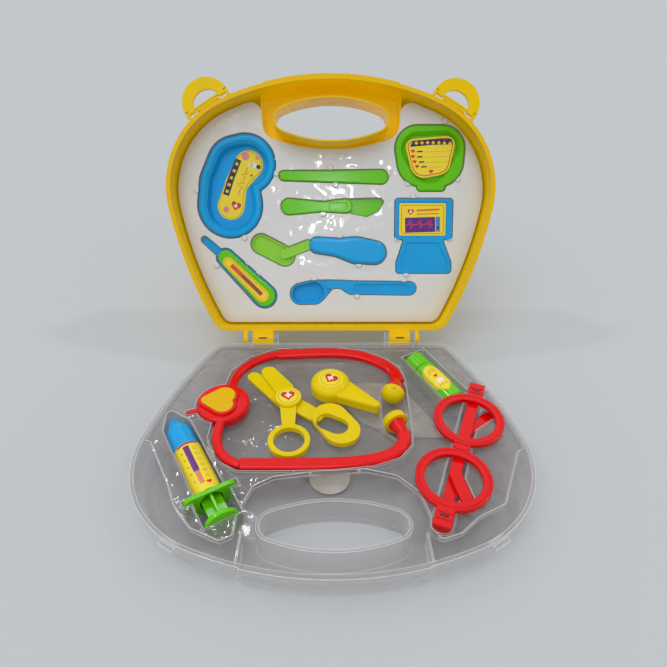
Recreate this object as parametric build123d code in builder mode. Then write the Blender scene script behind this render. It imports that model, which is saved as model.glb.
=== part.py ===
"""Toy doctor's case: a clear base and a yellow lid hinged along the back, with a
moulded tray of toy instruments in each.

Frame: +X to the right along the hinge, -Y to the front, +Z up. The origin is on the
flat resting face under the base. The lid stands open on its stop.
Inside a half, places are given as (x, s): s is the distance from the hinge axis
towards the handle. Depth is measured from the rim down into the half.
"""

import math
import os

from build123d import *

os.makedirs("parts", exist_ok=True)

# ---------------------------------------------------------------- driving dimensions, mm
case_width = 260.0  # across the shoulders
case_reach = 205.0  # hinge axis to the front of the handle
opening_angle = 121.3  # from closed to the stop
origin_s = 105.0  # the origin's distance from the hinge axis

front_radius = 212.0  # the outline's arcs, seen along the depth
shoulder_radius = 74.0
side_radius = 344.0
side_lean = 12.0  # degrees below square where shoulder and side arcs meet
rear_radius = 14.0
rear_gap = 6.0  # hinge axis to both back walls
wall_draft = 5.5  # degrees, on every moulded wall
rim_gap = 0.3  # between the two rims when closed

base_depth = 23.0
base_wall = 2.5
base_round = 11.0
lid_depth = 34.0
lid_wall = 1.4
lid_round = 10.0

handle_s = 172.0  # centre of the finger opening
opening_width = 87.8
opening_height = 31.8
opening_end = 9.0  # radius of its ends
opening_draft = 2.0
grip_half = 53.0  # the handle bulges out over this half width
grip_bulge = 0.8
grip_round = 6.0
lid_grip_depth = 29.0  # the lid is shallower behind its handle
chamber_half = 56.0  # half width of the hollow round the finger opening
chamber_height = 40.0
chamber_end = 13.0
chamber_spread = 58.0  # its half width where it meets the front wall
lid_chamber_top = 19.3  # its wall stops under the lid tray
base_rib = 1.2
base_rib_top = 9.0

base_flange_depth = 1.0
base_sheet = 0.8
lid_flange_depth = 18.5
lid_sheet = 0.5
lid_rim_width = 3.4  # the lid's thickened mouth
lid_rim_depth = 2.4
tray_gap = 0.5  # between the base tray and the walls round it
lid_tray_gap = 2.0
tray_corner = 9.0  # where the lid tray meets the finger hollow
item_gap = 0.8  # between an item and its pocket

# ---------------------------------------------------------------- the two halves' planes
rim_height = base_depth
lid_tilt = math.radians(180 - opening_angle)
lid_out = (0, -math.sin(lid_tilt), math.cos(lid_tilt))  # out of the lid, towards its user


def base_level(depth):
    """Plane at a depth in the base: sketches in (x, s), extrusions go deeper."""
    return Plane(origin=(0, origin_s, rim_height - depth), x_dir=(1, 0, 0), z_dir=(0, 0, -1))


def lid_level(depth):
    """Plane at a depth in the open lid: sketches in (x, s), extrusions come out."""
    foot = (0, origin_s - depth * lid_out[1], rim_height - depth * lid_out[2])
    return Plane(origin=foot, x_dir=(1, 0, 0), z_dir=lid_out)


base_down = Axis(base_level(0).origin, base_level(0).z_dir)
lid_down = Axis(lid_level(0).origin, -lid_level(0).z_dir)


# ---------------------------------------------------------------- outline of both halves
def on_arc(centre, radius, degrees):
    """Point on a circle."""
    turn = math.radians(degrees)
    return (centre[0] + radius * math.cos(turn), centre[1] + radius * math.sin(turn))


shoulder_x = case_width / 2 - shoulder_radius
front_centre = (0, case_reach - front_radius)
shoulder_centre = (
    shoulder_x,
    front_centre[1] + math.sqrt((front_radius - shoulder_radius) ** 2 - shoulder_x**2),
)
side_centre = on_arc(shoulder_centre, shoulder_radius - side_radius, -side_lean)
shoulder_turn = math.degrees(math.atan2(shoulder_centre[1] - front_centre[1], shoulder_x))


def case_outline(plane, inset=0.0):
    """The closed outline of a half: tangent arcs, moved inwards by inset."""
    front_r, shoulder_r, side_r = (
        radius - inset for radius in (front_radius, shoulder_radius, side_radius)
    )
    rear_s = rear_gap + inset
    rear_turn = -math.degrees(math.asin((side_centre[1] - rear_s) / side_r))
    front_end = on_arc(front_centre, front_r, shoulder_turn)
    side_start = on_arc(shoulder_centre, shoulder_r, -side_lean)
    rear_corner = on_arc(side_centre, side_r, rear_turn)
    with BuildSketch(plane) as outline:
        with BuildLine():
            ThreePointArc(
                on_arc(front_centre, front_r, 90),
                on_arc(front_centre, front_r, (90 + shoulder_turn) / 2),
                front_end,
            )
            ThreePointArc(
                front_end,
                on_arc(shoulder_centre, shoulder_r, (shoulder_turn - side_lean) / 2),
                side_start,
            )
            ThreePointArc(
                side_start, on_arc(side_centre, side_r, (rear_turn - side_lean) / 2), rear_corner
            )
            Line(rear_corner, (0, rear_s))
            mirror(about=Plane.YZ)
        make_face()
        rear_corners = [v for v in outline.vertices() if v.Y < rear_s + 1 and abs(v.X) > 1]
        fillet(rear_corners, rear_radius - inset)
    return outline.sketch


def grip_zone(plane):
    """The part of a half in front of the finger opening."""
    with BuildSketch(plane) as zone:
        with Locations((0, handle_s + case_reach / 2)):
            Rectangle(2 * grip_half, case_reach)
    return zone.sketch


def oval(plane, half_width, half_height, end_radius):
    """A four-arc oval round the middle of the finger opening."""
    side_r = ((half_width - end_radius) ** 2 + half_height**2 - end_radius**2) / (
        2 * (half_height - end_radius)
    )
    turn = math.degrees(math.atan2(side_r - half_height, half_width - end_radius))
    end = (half_width - end_radius, handle_s)
    foot = (0, handle_s + half_height - side_r)
    end_stop = on_arc(end, end_radius, turn)
    with BuildSketch(plane) as shape:
        with BuildLine():
            ThreePointArc(
                (half_width, handle_s), on_arc(end, end_radius, turn / 2), end_stop
            )
            ThreePointArc(
                end_stop, on_arc(foot, side_r, (turn + 90) / 2), (0, handle_s + half_height)
            )
            mirror(about=Plane.YZ)
            mirror(about=Plane.XZ.offset(-handle_s))
        make_face()
    return shape.sketch


def chamber_outline(plane, inset=0.0, front=0.0):
    """The hollow round the finger opening, out to front inside the outline."""
    with BuildSketch(plane) as outline:
        add(oval(Plane.XY, chamber_half - inset, chamber_height / 2 - inset, chamber_end - inset))
        with BuildLine():
            Polyline(
                (inset - chamber_half, handle_s),
                (chamber_half - inset, handle_s),
                (chamber_spread - inset, case_reach + 10),
                (inset - chamber_spread, case_reach + 10),
                close=True,
            )
        make_face()
        add(case_outline(Plane.XY, front), mode=Mode.INTERSECT)
    return outline.sketch


def finger_opening(plane, grow=0.0):
    """The finger opening's oval."""
    return oval(plane, opening_width / 2 + grow, opening_height / 2 + grow, opening_end + grow)


def rounded(plane, corners, radius, grow=0.0):
    """A polygon with rounded corners."""
    with BuildSketch(plane) as shape:
        with BuildLine():
            Polyline(*corners, close=True)
        make_face()
        fillet(shape.vertices(), radius)
        if grow:
            offset(amount=grow)
    return shape.sketch


def swept_discs(plane, discs, grow=0.0):
    """The hull of discs, each given as x, s, radius."""
    with BuildSketch(plane) as shape:
        for x, s, radius in discs:
            with Locations((x, s)):
                Circle(radius + grow)
        make_hull()
    return shape.sketch


def chain(plane, discs, grow=0.0):
    """Discs joined one to the next, each given as x, s, radius."""
    with BuildSketch(plane) as shape:
        for pair in zip(discs, discs[1:]):
            add(swept_discs(Plane.XY, pair, grow))
    return shape.sketch


# ---------------------------------------------------------------- hinges, one on each side
hinge_edges = (42.9, 46.9, 63.4, 67.9, 70.9)  # clear arm, lid block, clear arm, lid arm
hinge_side_gap = 0.3
inner_arm, block_start, block_end, outer_arm, lid_arm_end = hinge_edges
inner_arm_end = block_start - hinge_side_gap
outer_arm_end = outer_arm - hinge_side_gap
arm_radius = 4.5
barrel_radius = 5.6
stud_radius = 1.8
stud_clearance = 0.05
stud_length = 3.4
heel_length = 9.5  # below the axis, where the block lands on the back wall
heel_gap = 0.1
hinge_slot = (7.0, 1.6)  # in the front of each block

# ---------------------------------------------------------------- ear latches
ear_bearing = 122.0  # degrees from +X, seen from the shoulder arc's centre
ear_pivot = 2.3  # pivot line outside the rim
ear_depth = 1.9  # pivot line below the lid's rim
ear_radius = 19.0
ear_thickness = 3.0
ear_hole_half = 11.0
ear_hole_reach = 9.5
ear_bar = (0.2, 1.5)  # the bar along the pivot, from its line
ear_knuckle_radius = 1.7
ear_pin_radius = 0.9
ear_pin_clearance = 0.05
ear_knuckle_end = 15.9
catch_half = 5.5
catch_depth = 3.0
catch_height = 2.2
catch_reach = 2.6


def hinge_section(x):
    """Plane across the hinge axis: sketches in (y, z) from the axis, extrusions to +X."""
    return Plane(origin=(x, origin_s, rim_height), x_dir=(0, 1, 0), z_dir=(1, 0, 0))


def lid_spot(s, depth):
    """A place in the open lid, as (y, z) from the hinge axis."""
    up = (math.cos(lid_tilt), math.sin(lid_tilt))
    return (s * up[0] - depth * lid_out[1], s * up[1] - depth * lid_out[2])


def clear_arm(x_start, x_end):
    """A base hinge arm: a round eye on the axis and a web to the back wall."""
    with BuildSketch(hinge_section(x_start)) as side:
        Circle(arm_radius)
        with BuildLine():
            Polyline(
                (0, -arm_radius),
                (-rear_gap - base_wall / 2, -arm_radius - 3),
                (-rear_gap - base_wall / 2, -0.6),
                (0, -0.6),
                close=True,
            )
        make_face()
    return extrude(side.sketch, amount=x_end - x_start, mode=Mode.PRIVATE)


def lid_arm(x_start, x_end, radius, heel):
    """A lid hinge block: an eye on the axis, a web to the back wall, perhaps a heel."""
    wall_end = rear_gap + lid_wall * 0.7
    slant = math.tan(math.radians(wall_draft))
    with BuildSketch(hinge_section(x_start)) as side:
        Circle(radius)
        with BuildLine():
            Polyline(
                lid_spot(0, 0.3), lid_spot(wall_end, 0.3), lid_spot(wall_end, radius),
                lid_spot(0, radius), close=True,
            )
        make_face()
        if heel:
            with BuildLine():
                Polyline(
                    (0, 0), (heel_gap - rear_gap, 0),
                    (heel_gap - rear_gap - slant * heel_length, -heel_length),
                    (-rear_gap / 2, -heel_length), (0, -barrel_radius), close=True,
                )
            make_face()
    return extrude(side.sketch, amount=x_end - x_start, mode=Mode.PRIVATE)


def hinge_pin(x_start, x_end, radius):
    """A length of the hinge axis."""
    with BuildSketch(hinge_section(x_start)) as section:
        Circle(radius)
    return extrude(section.sketch, amount=x_end - x_start, mode=Mode.PRIVATE)


# The ears' own axes: across the pivot line outwards, along it, and out of the lid.
ear_turn = math.radians(ear_bearing)
ear_foot_x = -shoulder_x + (shoulder_radius + ear_pivot) * math.cos(ear_turn)
ear_foot_s = shoulder_centre[1] + (shoulder_radius + ear_pivot) * math.sin(ear_turn)


def half_point(x, s, depth):
    """World position of a place in the open lid."""
    y, z = lid_spot(s, depth)
    return Vector(x, origin_s + y, rim_height + z)


def ear_plane(depth):
    """Plane in the lid at the left pivot: local x outwards, local y along the pivot line."""
    out = Vector(lid_out)
    foot = half_point(ear_foot_x, ear_foot_s, depth)
    away = half_point(ear_foot_x + math.cos(ear_turn), ear_foot_s + math.sin(ear_turn), depth) - foot
    return Plane(origin=foot, x_dir=away, z_dir=out)


def ear_section(along):
    """Plane across the left pivot line: local x outwards, extrusions along the line."""
    level = ear_plane(ear_depth)
    return Plane(origin=level.origin + level.y_dir * along, x_dir=level.x_dir, z_dir=level.y_dir)


def slope(depth):
    """How far a drafted wall has moved in at a depth."""
    return depth * math.tan(math.radians(wall_draft))


# ---------------------------------------------------------------- clear base shell
with BuildPart() as base_grip:
    extrude(
        case_outline(base_level(rim_gap / 2), -grip_bulge),
        amount=base_depth - rim_gap / 2,
        taper=wall_draft,
    )
    fillet(base_grip.edges().group_by(base_down)[-1], grip_round)
    extrude(grip_zone(base_level(-1)), amount=base_depth + 2, mode=Mode.INTERSECT)

with BuildPart() as base_hollow:
    extrude(case_outline(base_level(0), base_wall), amount=base_depth - base_wall, taper=wall_draft)
    fillet(base_hollow.edges().group_by(base_down)[-1], base_round - base_wall)

with BuildPart() as base_ribs:
    with BuildSketch(base_level(base_rib_top)):
        add(chamber_outline(Plane.XY, 0, base_wall / 2 + slope(base_depth)))
        add(chamber_outline(Plane.XY, base_rib, -5), mode=Mode.SUBTRACT)
        with Locations((0, handle_s - case_reach / 2)):
            Rectangle(2 * case_width, case_reach, mode=Mode.SUBTRACT)
    extrude(amount=base_depth - base_rib_top - base_wall / 2)

with BuildPart() as base_fittings:
    add(clear_arm(inner_arm, inner_arm_end))
    add(clear_arm(block_end, outer_arm_end))
    add(hinge_pin(inner_arm_end, block_start + stud_length, stud_radius))
    add(hinge_pin(block_end - stud_length, outer_arm + stud_length * 0.6, stud_radius))
    with BuildSketch(
        Plane(
            origin=(ear_foot_x, origin_s - ear_foot_s, rim_height - catch_depth),
            x_dir=(math.cos(ear_turn), -math.sin(ear_turn), 0),
            z_dir=(0, 0, -1),
        )
    ):
        with Locations((catch_reach - ear_pivot - 3, 0)):
            Rectangle(6, 2 * catch_half)
    extrude(amount=catch_height)
    mirror(about=Plane.YZ)

with BuildPart() as clear_base_shell:
    extrude(case_outline(base_level(rim_gap / 2)), amount=base_depth - rim_gap / 2, taper=wall_draft)
    fillet(clear_base_shell.edges().group_by(base_down)[-1], base_round)
    add(base_grip.part)
    add(base_hollow.part, mode=Mode.SUBTRACT)
    add(base_ribs.part)
    extrude(
        finger_opening(base_level(rim_gap / 2), base_wall * 0.8),
        amount=base_depth - base_wall / 2,
        taper=-opening_draft,
    )
    extrude(
        finger_opening(base_level(0)), amount=base_depth, taper=-opening_draft, mode=Mode.SUBTRACT
    )
    add(base_fittings.part)
clear_base_shell.part.label = "clear_base_shell"
export_step(clear_base_shell.part, "parts/clear_base_shell.step")

# ---------------------------------------------------------------- yellow lid shell
with BuildPart() as lid_grip:
    extrude(
        case_outline(lid_level(rim_gap / 2), -grip_bulge),
        amount=rim_gap / 2 - lid_grip_depth,
        taper=wall_draft,
    )
    fillet(lid_grip.edges().group_by(lid_down)[-1], grip_round)
    extrude(grip_zone(lid_level(-1)), amount=-lid_depth - 2, mode=Mode.INTERSECT)

with BuildPart() as lid_hollow:
    extrude(case_outline(lid_level(0), lid_wall), amount=lid_wall - lid_depth, taper=wall_draft)
    fillet(lid_hollow.edges().group_by(lid_down)[-1], lid_round - lid_wall)
    extrude(
        chamber_outline(lid_level(lid_chamber_top)),
        amount=lid_chamber_top - lid_depth,
        mode=Mode.SUBTRACT,
    )

with BuildPart() as lid_chamber:
    extrude(
        case_outline(lid_level(0), lid_wall), amount=lid_wall - lid_grip_depth, taper=wall_draft
    )
    fillet(lid_chamber.edges().group_by(lid_down)[-1], grip_round)
    extrude(
        chamber_outline(lid_level(lid_chamber_top), lid_wall, -5),
        amount=lid_chamber_top - lid_depth,
        mode=Mode.INTERSECT,
    )

with BuildPart() as lid_rim:
    with BuildSketch(lid_level(rim_gap / 2)):
        add(case_outline(Plane.XY, lid_wall / 2))
        add(case_outline(Plane.XY, lid_rim_width), mode=Mode.SUBTRACT)
    extrude(amount=rim_gap / 2 - lid_rim_depth)

with BuildPart() as lid_fittings:
    add(lid_arm(block_start, block_end - hinge_side_gap, barrel_radius, True))
    add(lid_arm(outer_arm, lid_arm_end, arm_radius, False))
    with BuildSketch(
        Plane(origin=((block_start + block_end) / 2, origin_s - 20, rim_height), z_dir=(0, 1, 0))
    ):
        Rectangle(*hinge_slot)
    extrude(amount=20 - barrel_radius + 1.5, mode=Mode.SUBTRACT)
    bore_radius = stud_radius + stud_clearance
    add(hinge_pin(block_start - 1, block_start + stud_length + 0.2, bore_radius), mode=Mode.SUBTRACT)
    add(
        hinge_pin(block_end - stud_length - 0.2, outer_arm + stud_length * 0.6 + 0.2, bore_radius),
        mode=Mode.SUBTRACT,
    )
    for start, end in ((ear_knuckle_end + 0.3, ear_radius), (-ear_radius, -ear_knuckle_end - 0.3)):
        with BuildSketch(ear_section(start)):
            Circle(ear_knuckle_radius)
            with Locations((-3, 0)):
                Rectangle(6, 2 * ear_knuckle_radius)
        extrude(amount=end - start)
    for start, end in (
        (ear_hole_half + 0.4, ear_knuckle_end + 0.3),
        (-ear_knuckle_end - 0.3, -ear_hole_half - 0.4),
    ):
        with BuildSketch(ear_section(start)):
            Circle(ear_pin_radius)
        extrude(amount=end - start)
    mirror(about=Plane.YZ)

with BuildPart() as yellow_lid_shell:
    extrude(case_outline(lid_level(rim_gap / 2)), amount=rim_gap / 2 - lid_depth, taper=wall_draft)
    fillet(yellow_lid_shell.edges().group_by(lid_down)[-1], lid_round)
    extrude(grip_zone(lid_level(-1)), amount=-lid_depth - 2, mode=Mode.SUBTRACT)
    add(lid_grip.part)
    add(lid_hollow.part, mode=Mode.SUBTRACT)
    add(lid_chamber.part, mode=Mode.SUBTRACT)
    add(lid_rim.part)
    extrude(
        chamber_outline(lid_level(lid_grip_depth), lid_wall, -5),
        amount=lid_grip_depth - lid_depth - 1,
        mode=Mode.SUBTRACT,
    )
    extrude(
        finger_opening(lid_level(rim_gap / 2), lid_wall),
        amount=lid_wall / 2 - lid_grip_depth,
        taper=-opening_draft,
    )
    extrude(
        finger_opening(lid_level(0)),
        amount=-lid_grip_depth - 1,
        taper=-opening_draft,
        mode=Mode.SUBTRACT,
    )
    add(lid_fittings.part)
yellow_lid_shell.part.label = "yellow_lid_shell"
export_step(yellow_lid_shell.part, "parts/yellow_lid_shell.step")

# ---------------------------------------------------------------- ear latches
with BuildPart() as left_ear_latch:
    with BuildSketch(ear_plane(ear_depth + ear_thickness / 2)):
        Circle(ear_radius)
        with Locations((-ear_radius / 2, 0)):
            Rectangle(ear_radius, 3 * ear_radius, mode=Mode.SUBTRACT)
        Ellipse(ear_hole_reach, ear_hole_half, mode=Mode.SUBTRACT)
        for side in (1, -1):
            with Locations((1, side * (ear_knuckle_end + 3))):
                Rectangle(2, 6, mode=Mode.SUBTRACT)
        with Locations(((ear_bar[0] + ear_bar[1]) / 2, 0)):
            Rectangle(ear_bar[1] - ear_bar[0], 2 * ear_hole_half + 1)
    extrude(amount=ear_thickness)
    for start, end in (
        (ear_hole_half, ear_knuckle_end),
        (-ear_knuckle_end, -ear_hole_half),
    ):
        with BuildSketch(ear_section(start)):
            Circle(ear_knuckle_radius)
        extrude(amount=end - start)
        with BuildSketch(ear_section(start)):
            Circle(ear_pin_radius + ear_pin_clearance)
        extrude(amount=end - start, mode=Mode.SUBTRACT)
left_ear_latch.part.label = "left_ear_latch"
export_step(left_ear_latch.part, "parts/left_ear_latch.step")

with BuildPart() as right_ear_latch:
    add(left_ear_latch.part)
    mirror(about=Plane.YZ, mode=Mode.REPLACE)
right_ear_latch.part.label = "right_ear_latch"
export_step(right_ear_latch.part, "parts/right_ear_latch.step")


# ================================================================ lid items
# Each item lies in its own pocket: outline functions take a growth so that the pocket
# follows the item. Tops are flush with the tray flange unless a depth says otherwise.
dish_discs = ((-69.8, 140.6, 24.2), (-77.5, 139.5, 23.5), (-83.2, 124.5, 24.3), (-82.9, 107.6, 26.4))
dish_label_discs = ((-68.0, 141.4, 11.7), (-78.7, 126.0, 9.1), (-83.5, 107.6, 11.1))
dish_height = 12.0
dish_rim = 6.7
dish_bowl = 9.0
dish_slope = 13.0  # of the bowl's walls
dish_lip = 1.8  # the slanted edge inside the rim

tweezer_tip = (-38.6, 131.4, 3.9)
tweezer_end = (41.0, 130.6, 5.7)
tweezer_height = 6.4
tweezer_arm = 2.0  # thickness of each of the two arms, one over the other

scalpel_handle = ((-34.5, 106.6, 6.6), (-8.0, 106.6, 4.2), (12.0, 107.2, 5.7))
scalpel_blade = ((15.5, 101.6), (15.5, 112.8), (40.5, 113.4), (43.2, 110.6), (38.8, 103.3), (29.4, 98.9))
scalpel_height = 5.0
scalpel_blade_height = 1.8

mirror_discs = ((-58.0, 76.3, 8.2), (-38.5, 66.3, 8.2))
mirror_neck = ((-38.5, 68.0, 4.0), (-19.5, 75.4, 4.0))
mirror_grip = ((-11.5, 75.2, 6.6), (5.0, 73.4, 7.4), (21.0, 71.0, 11.0), (36.2, 69.0, 9.6))
mirror_grip_height = 11.0
mirror_depth = 16.5
mirror_border = 1.8
mirror_recess = 1.2

spoon_bowl = ((-25.3, 34.8, 8.7), (-14.5, 36.2, 9.8), (-1.0, 42.6, 3.6))
spoon_handle = ((-2.0, 42.8, 3.3), (9.0, 42.8, 3.2), (17.0, 40.0, 5.4), (65.6, 39.4, 5.4))
spoon_height = 5.0

probe_ends = ((-104.5, 79.6, 2.6), (-93.5, 69.8, 3.0))
thermometer_discs = ((-87.6, 65.0, 7.4), (-55.8, 33.2, 10.0))
thermometer_height = 8.0
cover_shrink = 1.2
cover_height = 2.4

badge_discs = ((70.6, 153.2, 18.6), (90.7, 153.4, 18.5), (88.0, 143.0, 20.3), (74.2, 143.0, 20.3))
badge_label_discs = ((70.6, 152.8, 9.6), (91.6, 153.8, 9.6), (80.6, 142.9, 13.6))
badge_foot = ((70.4, 119.3), (93.6, 119.3), (93.6, 140.0), (70.4, 140.0))
badge_step = 1.4  # the label's recess is this much larger all round
badge_height = 8.7
badge_recess = 4.0
badge_slope = 35.0  # of the recess's walls

monitor_head = ((52.9, 113.2), (52.9, 80.0), (100.2, 80.0), (100.2, 113.2))
monitor_waist = ((59.7, 84.0), (59.7, 78.0), (54.3, 61.0), (54.3, 52.2), (99.9, 52.2), (99.9, 61.0))
monitor_height = 9.0
monitor_recess = 0.8
monitor_panel = (
    (62.6, 77.4), (62.4, 74.0), (57.6, 62.0), (57.6, 55.4),
    (96.6, 55.4), (96.6, 62.0), (90.5, 74.0), (90.3, 77.4),
)

label_thickness = 0.3
toy_wall = 1.8  # the toys are open underneath
pocket_clearance = 0.2  # under an item


def dish_outline(plane, grow=0.0):
    """The kidney dish."""
    return chain(plane, dish_discs, grow)


def monitor_outline(plane, grow=0.0):
    """The heart monitor's screen and flared foot."""
    with BuildSketch(plane) as shape:
        add(rounded(Plane.XY, monitor_head, 2.5, grow))
        add(rounded(Plane.XY, (*monitor_waist, (93.2, 78.0), (93.2, 84.0)), 2.5, grow))
    return shape.sketch


def badge_outline(plane, grow=0.0):
    """The name badge: a rounded square on a foot."""
    with BuildSketch(plane) as shape:
        add(swept_discs(Plane.XY, badge_discs, grow))
        add(rounded(Plane.XY, badge_foot, 3.0, grow))
    return shape.sketch


def scalpel_outline(plane, grow=0.0):
    """The scalpel's handle and blade."""
    with BuildSketch(plane) as shape:
        add(chain(Plane.XY, scalpel_handle, grow))
        add(rounded(Plane.XY, scalpel_blade, 1.0, grow))
    return shape.sketch


def mirror_head_outline(plane, grow=0.0):
    """The mouth mirror's head and neck."""
    with BuildSketch(plane) as shape:
        add(swept_discs(Plane.XY, mirror_discs, grow))
        add(swept_discs(Plane.XY, mirror_neck, grow))
    return shape.sketch


def spoon_outline(plane, grow=0.0):
    """The spoon's bowl and handle."""
    with BuildSketch(plane) as shape:
        add(swept_discs(Plane.XY, spoon_bowl, grow))
        add(chain(Plane.XY, spoon_handle, grow))
    return shape.sketch


def thermometer_outline(plane, grow=0.0):
    """The thermometer's probe and body."""
    with BuildSketch(plane) as shape:
        add(swept_discs(Plane.XY, probe_ends, grow))
        add(swept_discs(Plane.XY, thermometer_discs, grow))
    return shape.sketch


# ---------------------------------------------------------------- kidney dish
with BuildPart() as kidney_dish:
    extrude(dish_outline(lid_level(lid_flange_depth + dish_height)), amount=dish_height)
    fillet(kidney_dish.edges().group_by(lid_down)[0], 2.8)
    for pair in zip(dish_discs, dish_discs[1:]):
        extrude(
            swept_discs(lid_level(lid_flange_depth), pair, dish_lip - dish_rim),
            amount=-dish_lip - 0.5,
            taper=45,
            mode=Mode.SUBTRACT,
        )
        extrude(
            swept_discs(lid_level(lid_flange_depth), pair, -dish_rim),
            amount=-dish_bowl,
            taper=dish_slope,
            mode=Mode.SUBTRACT,
        )
    with BuildSketch(lid_level(lid_flange_depth + dish_height)):
        add(dish_outline(Plane.XY, -toy_wall))
        add(dish_outline(Plane.XY, toy_wall - dish_rim), mode=Mode.SUBTRACT)
    extrude(amount=dish_height - toy_wall, mode=Mode.SUBTRACT)
    extrude(
        dish_outline(lid_level(lid_flange_depth + dish_height), -toy_wall),
        amount=dish_height - dish_bowl - toy_wall,
        mode=Mode.SUBTRACT,
    )
kidney_dish.part.label = "kidney_dish"
export_step(kidney_dish.part, "parts/kidney_dish.step")

with BuildPart() as kidney_label:
    extrude(
        chain(lid_level(lid_flange_depth + dish_bowl), dish_label_discs), amount=label_thickness
    )
kidney_label.part.label = "kidney_label"
export_step(kidney_label.part, "parts/kidney_label.step")

# ---------------------------------------------------------------- tweezers
with BuildPart() as tweezers:
    extrude(
        swept_discs(lid_level(lid_flange_depth + tweezer_height), (tweezer_tip, tweezer_end)),
        amount=tweezer_height,
    )
    fillet(tweezers.edges().group_by(lid_down)[0], 1.2)
    with BuildSketch(lid_level(lid_flange_depth + tweezer_arm)):
        with Locations((tweezer_tip[0] - 10, tweezer_tip[1])):
            Rectangle(
                2 * (tweezer_end[0] - tweezer_tip[0]), 30, align=(Align.CENTER, Align.CENTER)
            )
    extrude(amount=2 * tweezer_arm - tweezer_height, mode=Mode.SUBTRACT)
tweezers.part.label = "tweezers"
export_step(tweezers.part, "parts/tweezers.step")

# ---------------------------------------------------------------- scalpel
with BuildPart() as scalpel:
    extrude(
        chain(lid_level(lid_flange_depth + scalpel_height), scalpel_handle), amount=scalpel_height
    )
    fillet(scalpel.edges().group_by(lid_down)[0], 1.2)
    extrude(
        rounded(lid_level(lid_flange_depth + scalpel_height), scalpel_blade, 1.0),
        amount=scalpel_blade_height,
    )
    with BuildSketch(lid_level(lid_flange_depth)):
        with Locations((6.0, 107.0)):
            RectangleRounded(15, 6, 1.5)
    extrude(amount=-0.8, mode=Mode.SUBTRACT)
scalpel.part.label = "scalpel"
export_step(scalpel.part, "parts/scalpel.step")

# ---------------------------------------------------------------- mouth mirror
mirror_floor = mirror_depth + mirror_grip_height
with BuildPart() as mirror_head:
    extrude(swept_discs(lid_level(mirror_floor - 4.0), mirror_discs), amount=3.0)
    fillet(mirror_head.edges().group_by(lid_down)[0], 1.0)
    extrude(swept_discs(lid_level(mirror_floor - 4.0), mirror_neck), amount=4.0)
    extrude(
        swept_discs(lid_level(mirror_floor - 7.0), mirror_discs, -mirror_border),
        amount=-mirror_recess,
        mode=Mode.SUBTRACT,
    )
    add(
        extrude(
            chain(lid_level(mirror_floor), mirror_grip, 0.0),
            amount=mirror_grip_height,
            mode=Mode.PRIVATE,
        ),
        mode=Mode.SUBTRACT,
    )
mirror_head.part.label = "mirror_head"
export_step(mirror_head.part, "parts/mirror_head.step")

with BuildPart() as mirror_handle:
    extrude(chain(lid_level(mirror_floor), mirror_grip), amount=mirror_grip_height)
    fillet(mirror_handle.edges().group_by(lid_down)[0], 3.0)
    extrude(
        chain(lid_level(mirror_floor), mirror_grip, -toy_wall),
        amount=mirror_grip_height - toy_wall,
        mode=Mode.SUBTRACT,
    )
mirror_handle.part.label = "mirror_handle"
export_step(mirror_handle.part, "parts/mirror_handle.step")

# ---------------------------------------------------------------- spoon
with BuildPart() as spoon:
    extrude(chain(lid_level(lid_flange_depth + spoon_height), spoon_handle), amount=spoon_height)
    extrude(swept_discs(lid_level(lid_flange_depth + spoon_height + 2), spoon_bowl), amount=6.0)
    extrude(
        swept_discs(lid_level(lid_flange_depth + 1), spoon_bowl[:2], -1.4),
        amount=-4.5,
        taper=12,
        mode=Mode.SUBTRACT,
    )
    with BuildSketch(lid_level(lid_flange_depth)):
        with Locations((42.0, 39.5)):
            SlotOverall(46, 6.6)
    extrude(amount=-0.8, mode=Mode.SUBTRACT)
spoon.part.label = "spoon"
export_step(spoon.part, "parts/spoon.step")

# ---------------------------------------------------------------- thermometer
thermometer_split = lid_flange_depth + cover_height
with BuildPart() as thermometer_body:
    extrude(
        swept_discs(lid_level(lid_flange_depth + thermometer_height), thermometer_discs),
        amount=thermometer_height - cover_height,
    )
    extrude(swept_discs(lid_level(thermometer_split + 4), probe_ends), amount=4.0)
    extrude(
        swept_discs(lid_level(lid_flange_depth + thermometer_height), thermometer_discs, -toy_wall),
        amount=thermometer_height - cover_height - toy_wall,
        mode=Mode.SUBTRACT,
    )
thermometer_body.part.label = "thermometer_body"
export_step(thermometer_body.part, "parts/thermometer_body.step")

with BuildPart() as thermometer_cover:
    extrude(
        swept_discs(lid_level(thermometer_split), thermometer_discs, -cover_shrink),
        amount=cover_height,
    )
    fillet(thermometer_cover.edges().group_by(lid_down)[0], 1.2)
thermometer_cover.part.label = "thermometer_cover"
export_step(thermometer_cover.part, "parts/thermometer_cover.step")

with BuildPart() as thermometer_label:
    extrude(
        swept_discs(
            lid_level(lid_flange_depth), ((-85.6, 61.2, 4.3), (-57.6, 33.6, 5.4))
        ),
        amount=label_thickness,
    )
thermometer_label.part.label = "thermometer_label"
export_step(thermometer_label.part, "parts/thermometer_label.step")

# ---------------------------------------------------------------- name badge
with BuildPart() as name_badge:
    extrude(badge_outline(lid_level(lid_flange_depth + badge_height)), amount=badge_height)
    fillet(name_badge.edges().group_by(lid_down)[0], 1.8)
    extrude(
        swept_discs(lid_level(lid_flange_depth + badge_recess), badge_label_discs, badge_step),
        amount=badge_recess,
        taper=-badge_slope,
        mode=Mode.SUBTRACT,
    )
    extrude(
        badge_outline(lid_level(lid_flange_depth + badge_height), -toy_wall),
        amount=badge_height - badge_recess - toy_wall,
        mode=Mode.SUBTRACT,
    )
name_badge.part.label = "name_badge"
export_step(name_badge.part, "parts/name_badge.step")

with BuildPart() as badge_label:
    extrude(
        swept_discs(lid_level(lid_flange_depth + badge_recess), badge_label_discs),
        amount=label_thickness,
    )
badge_label.part.label = "badge_label"
export_step(badge_label.part, "parts/badge_label.step")

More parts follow.
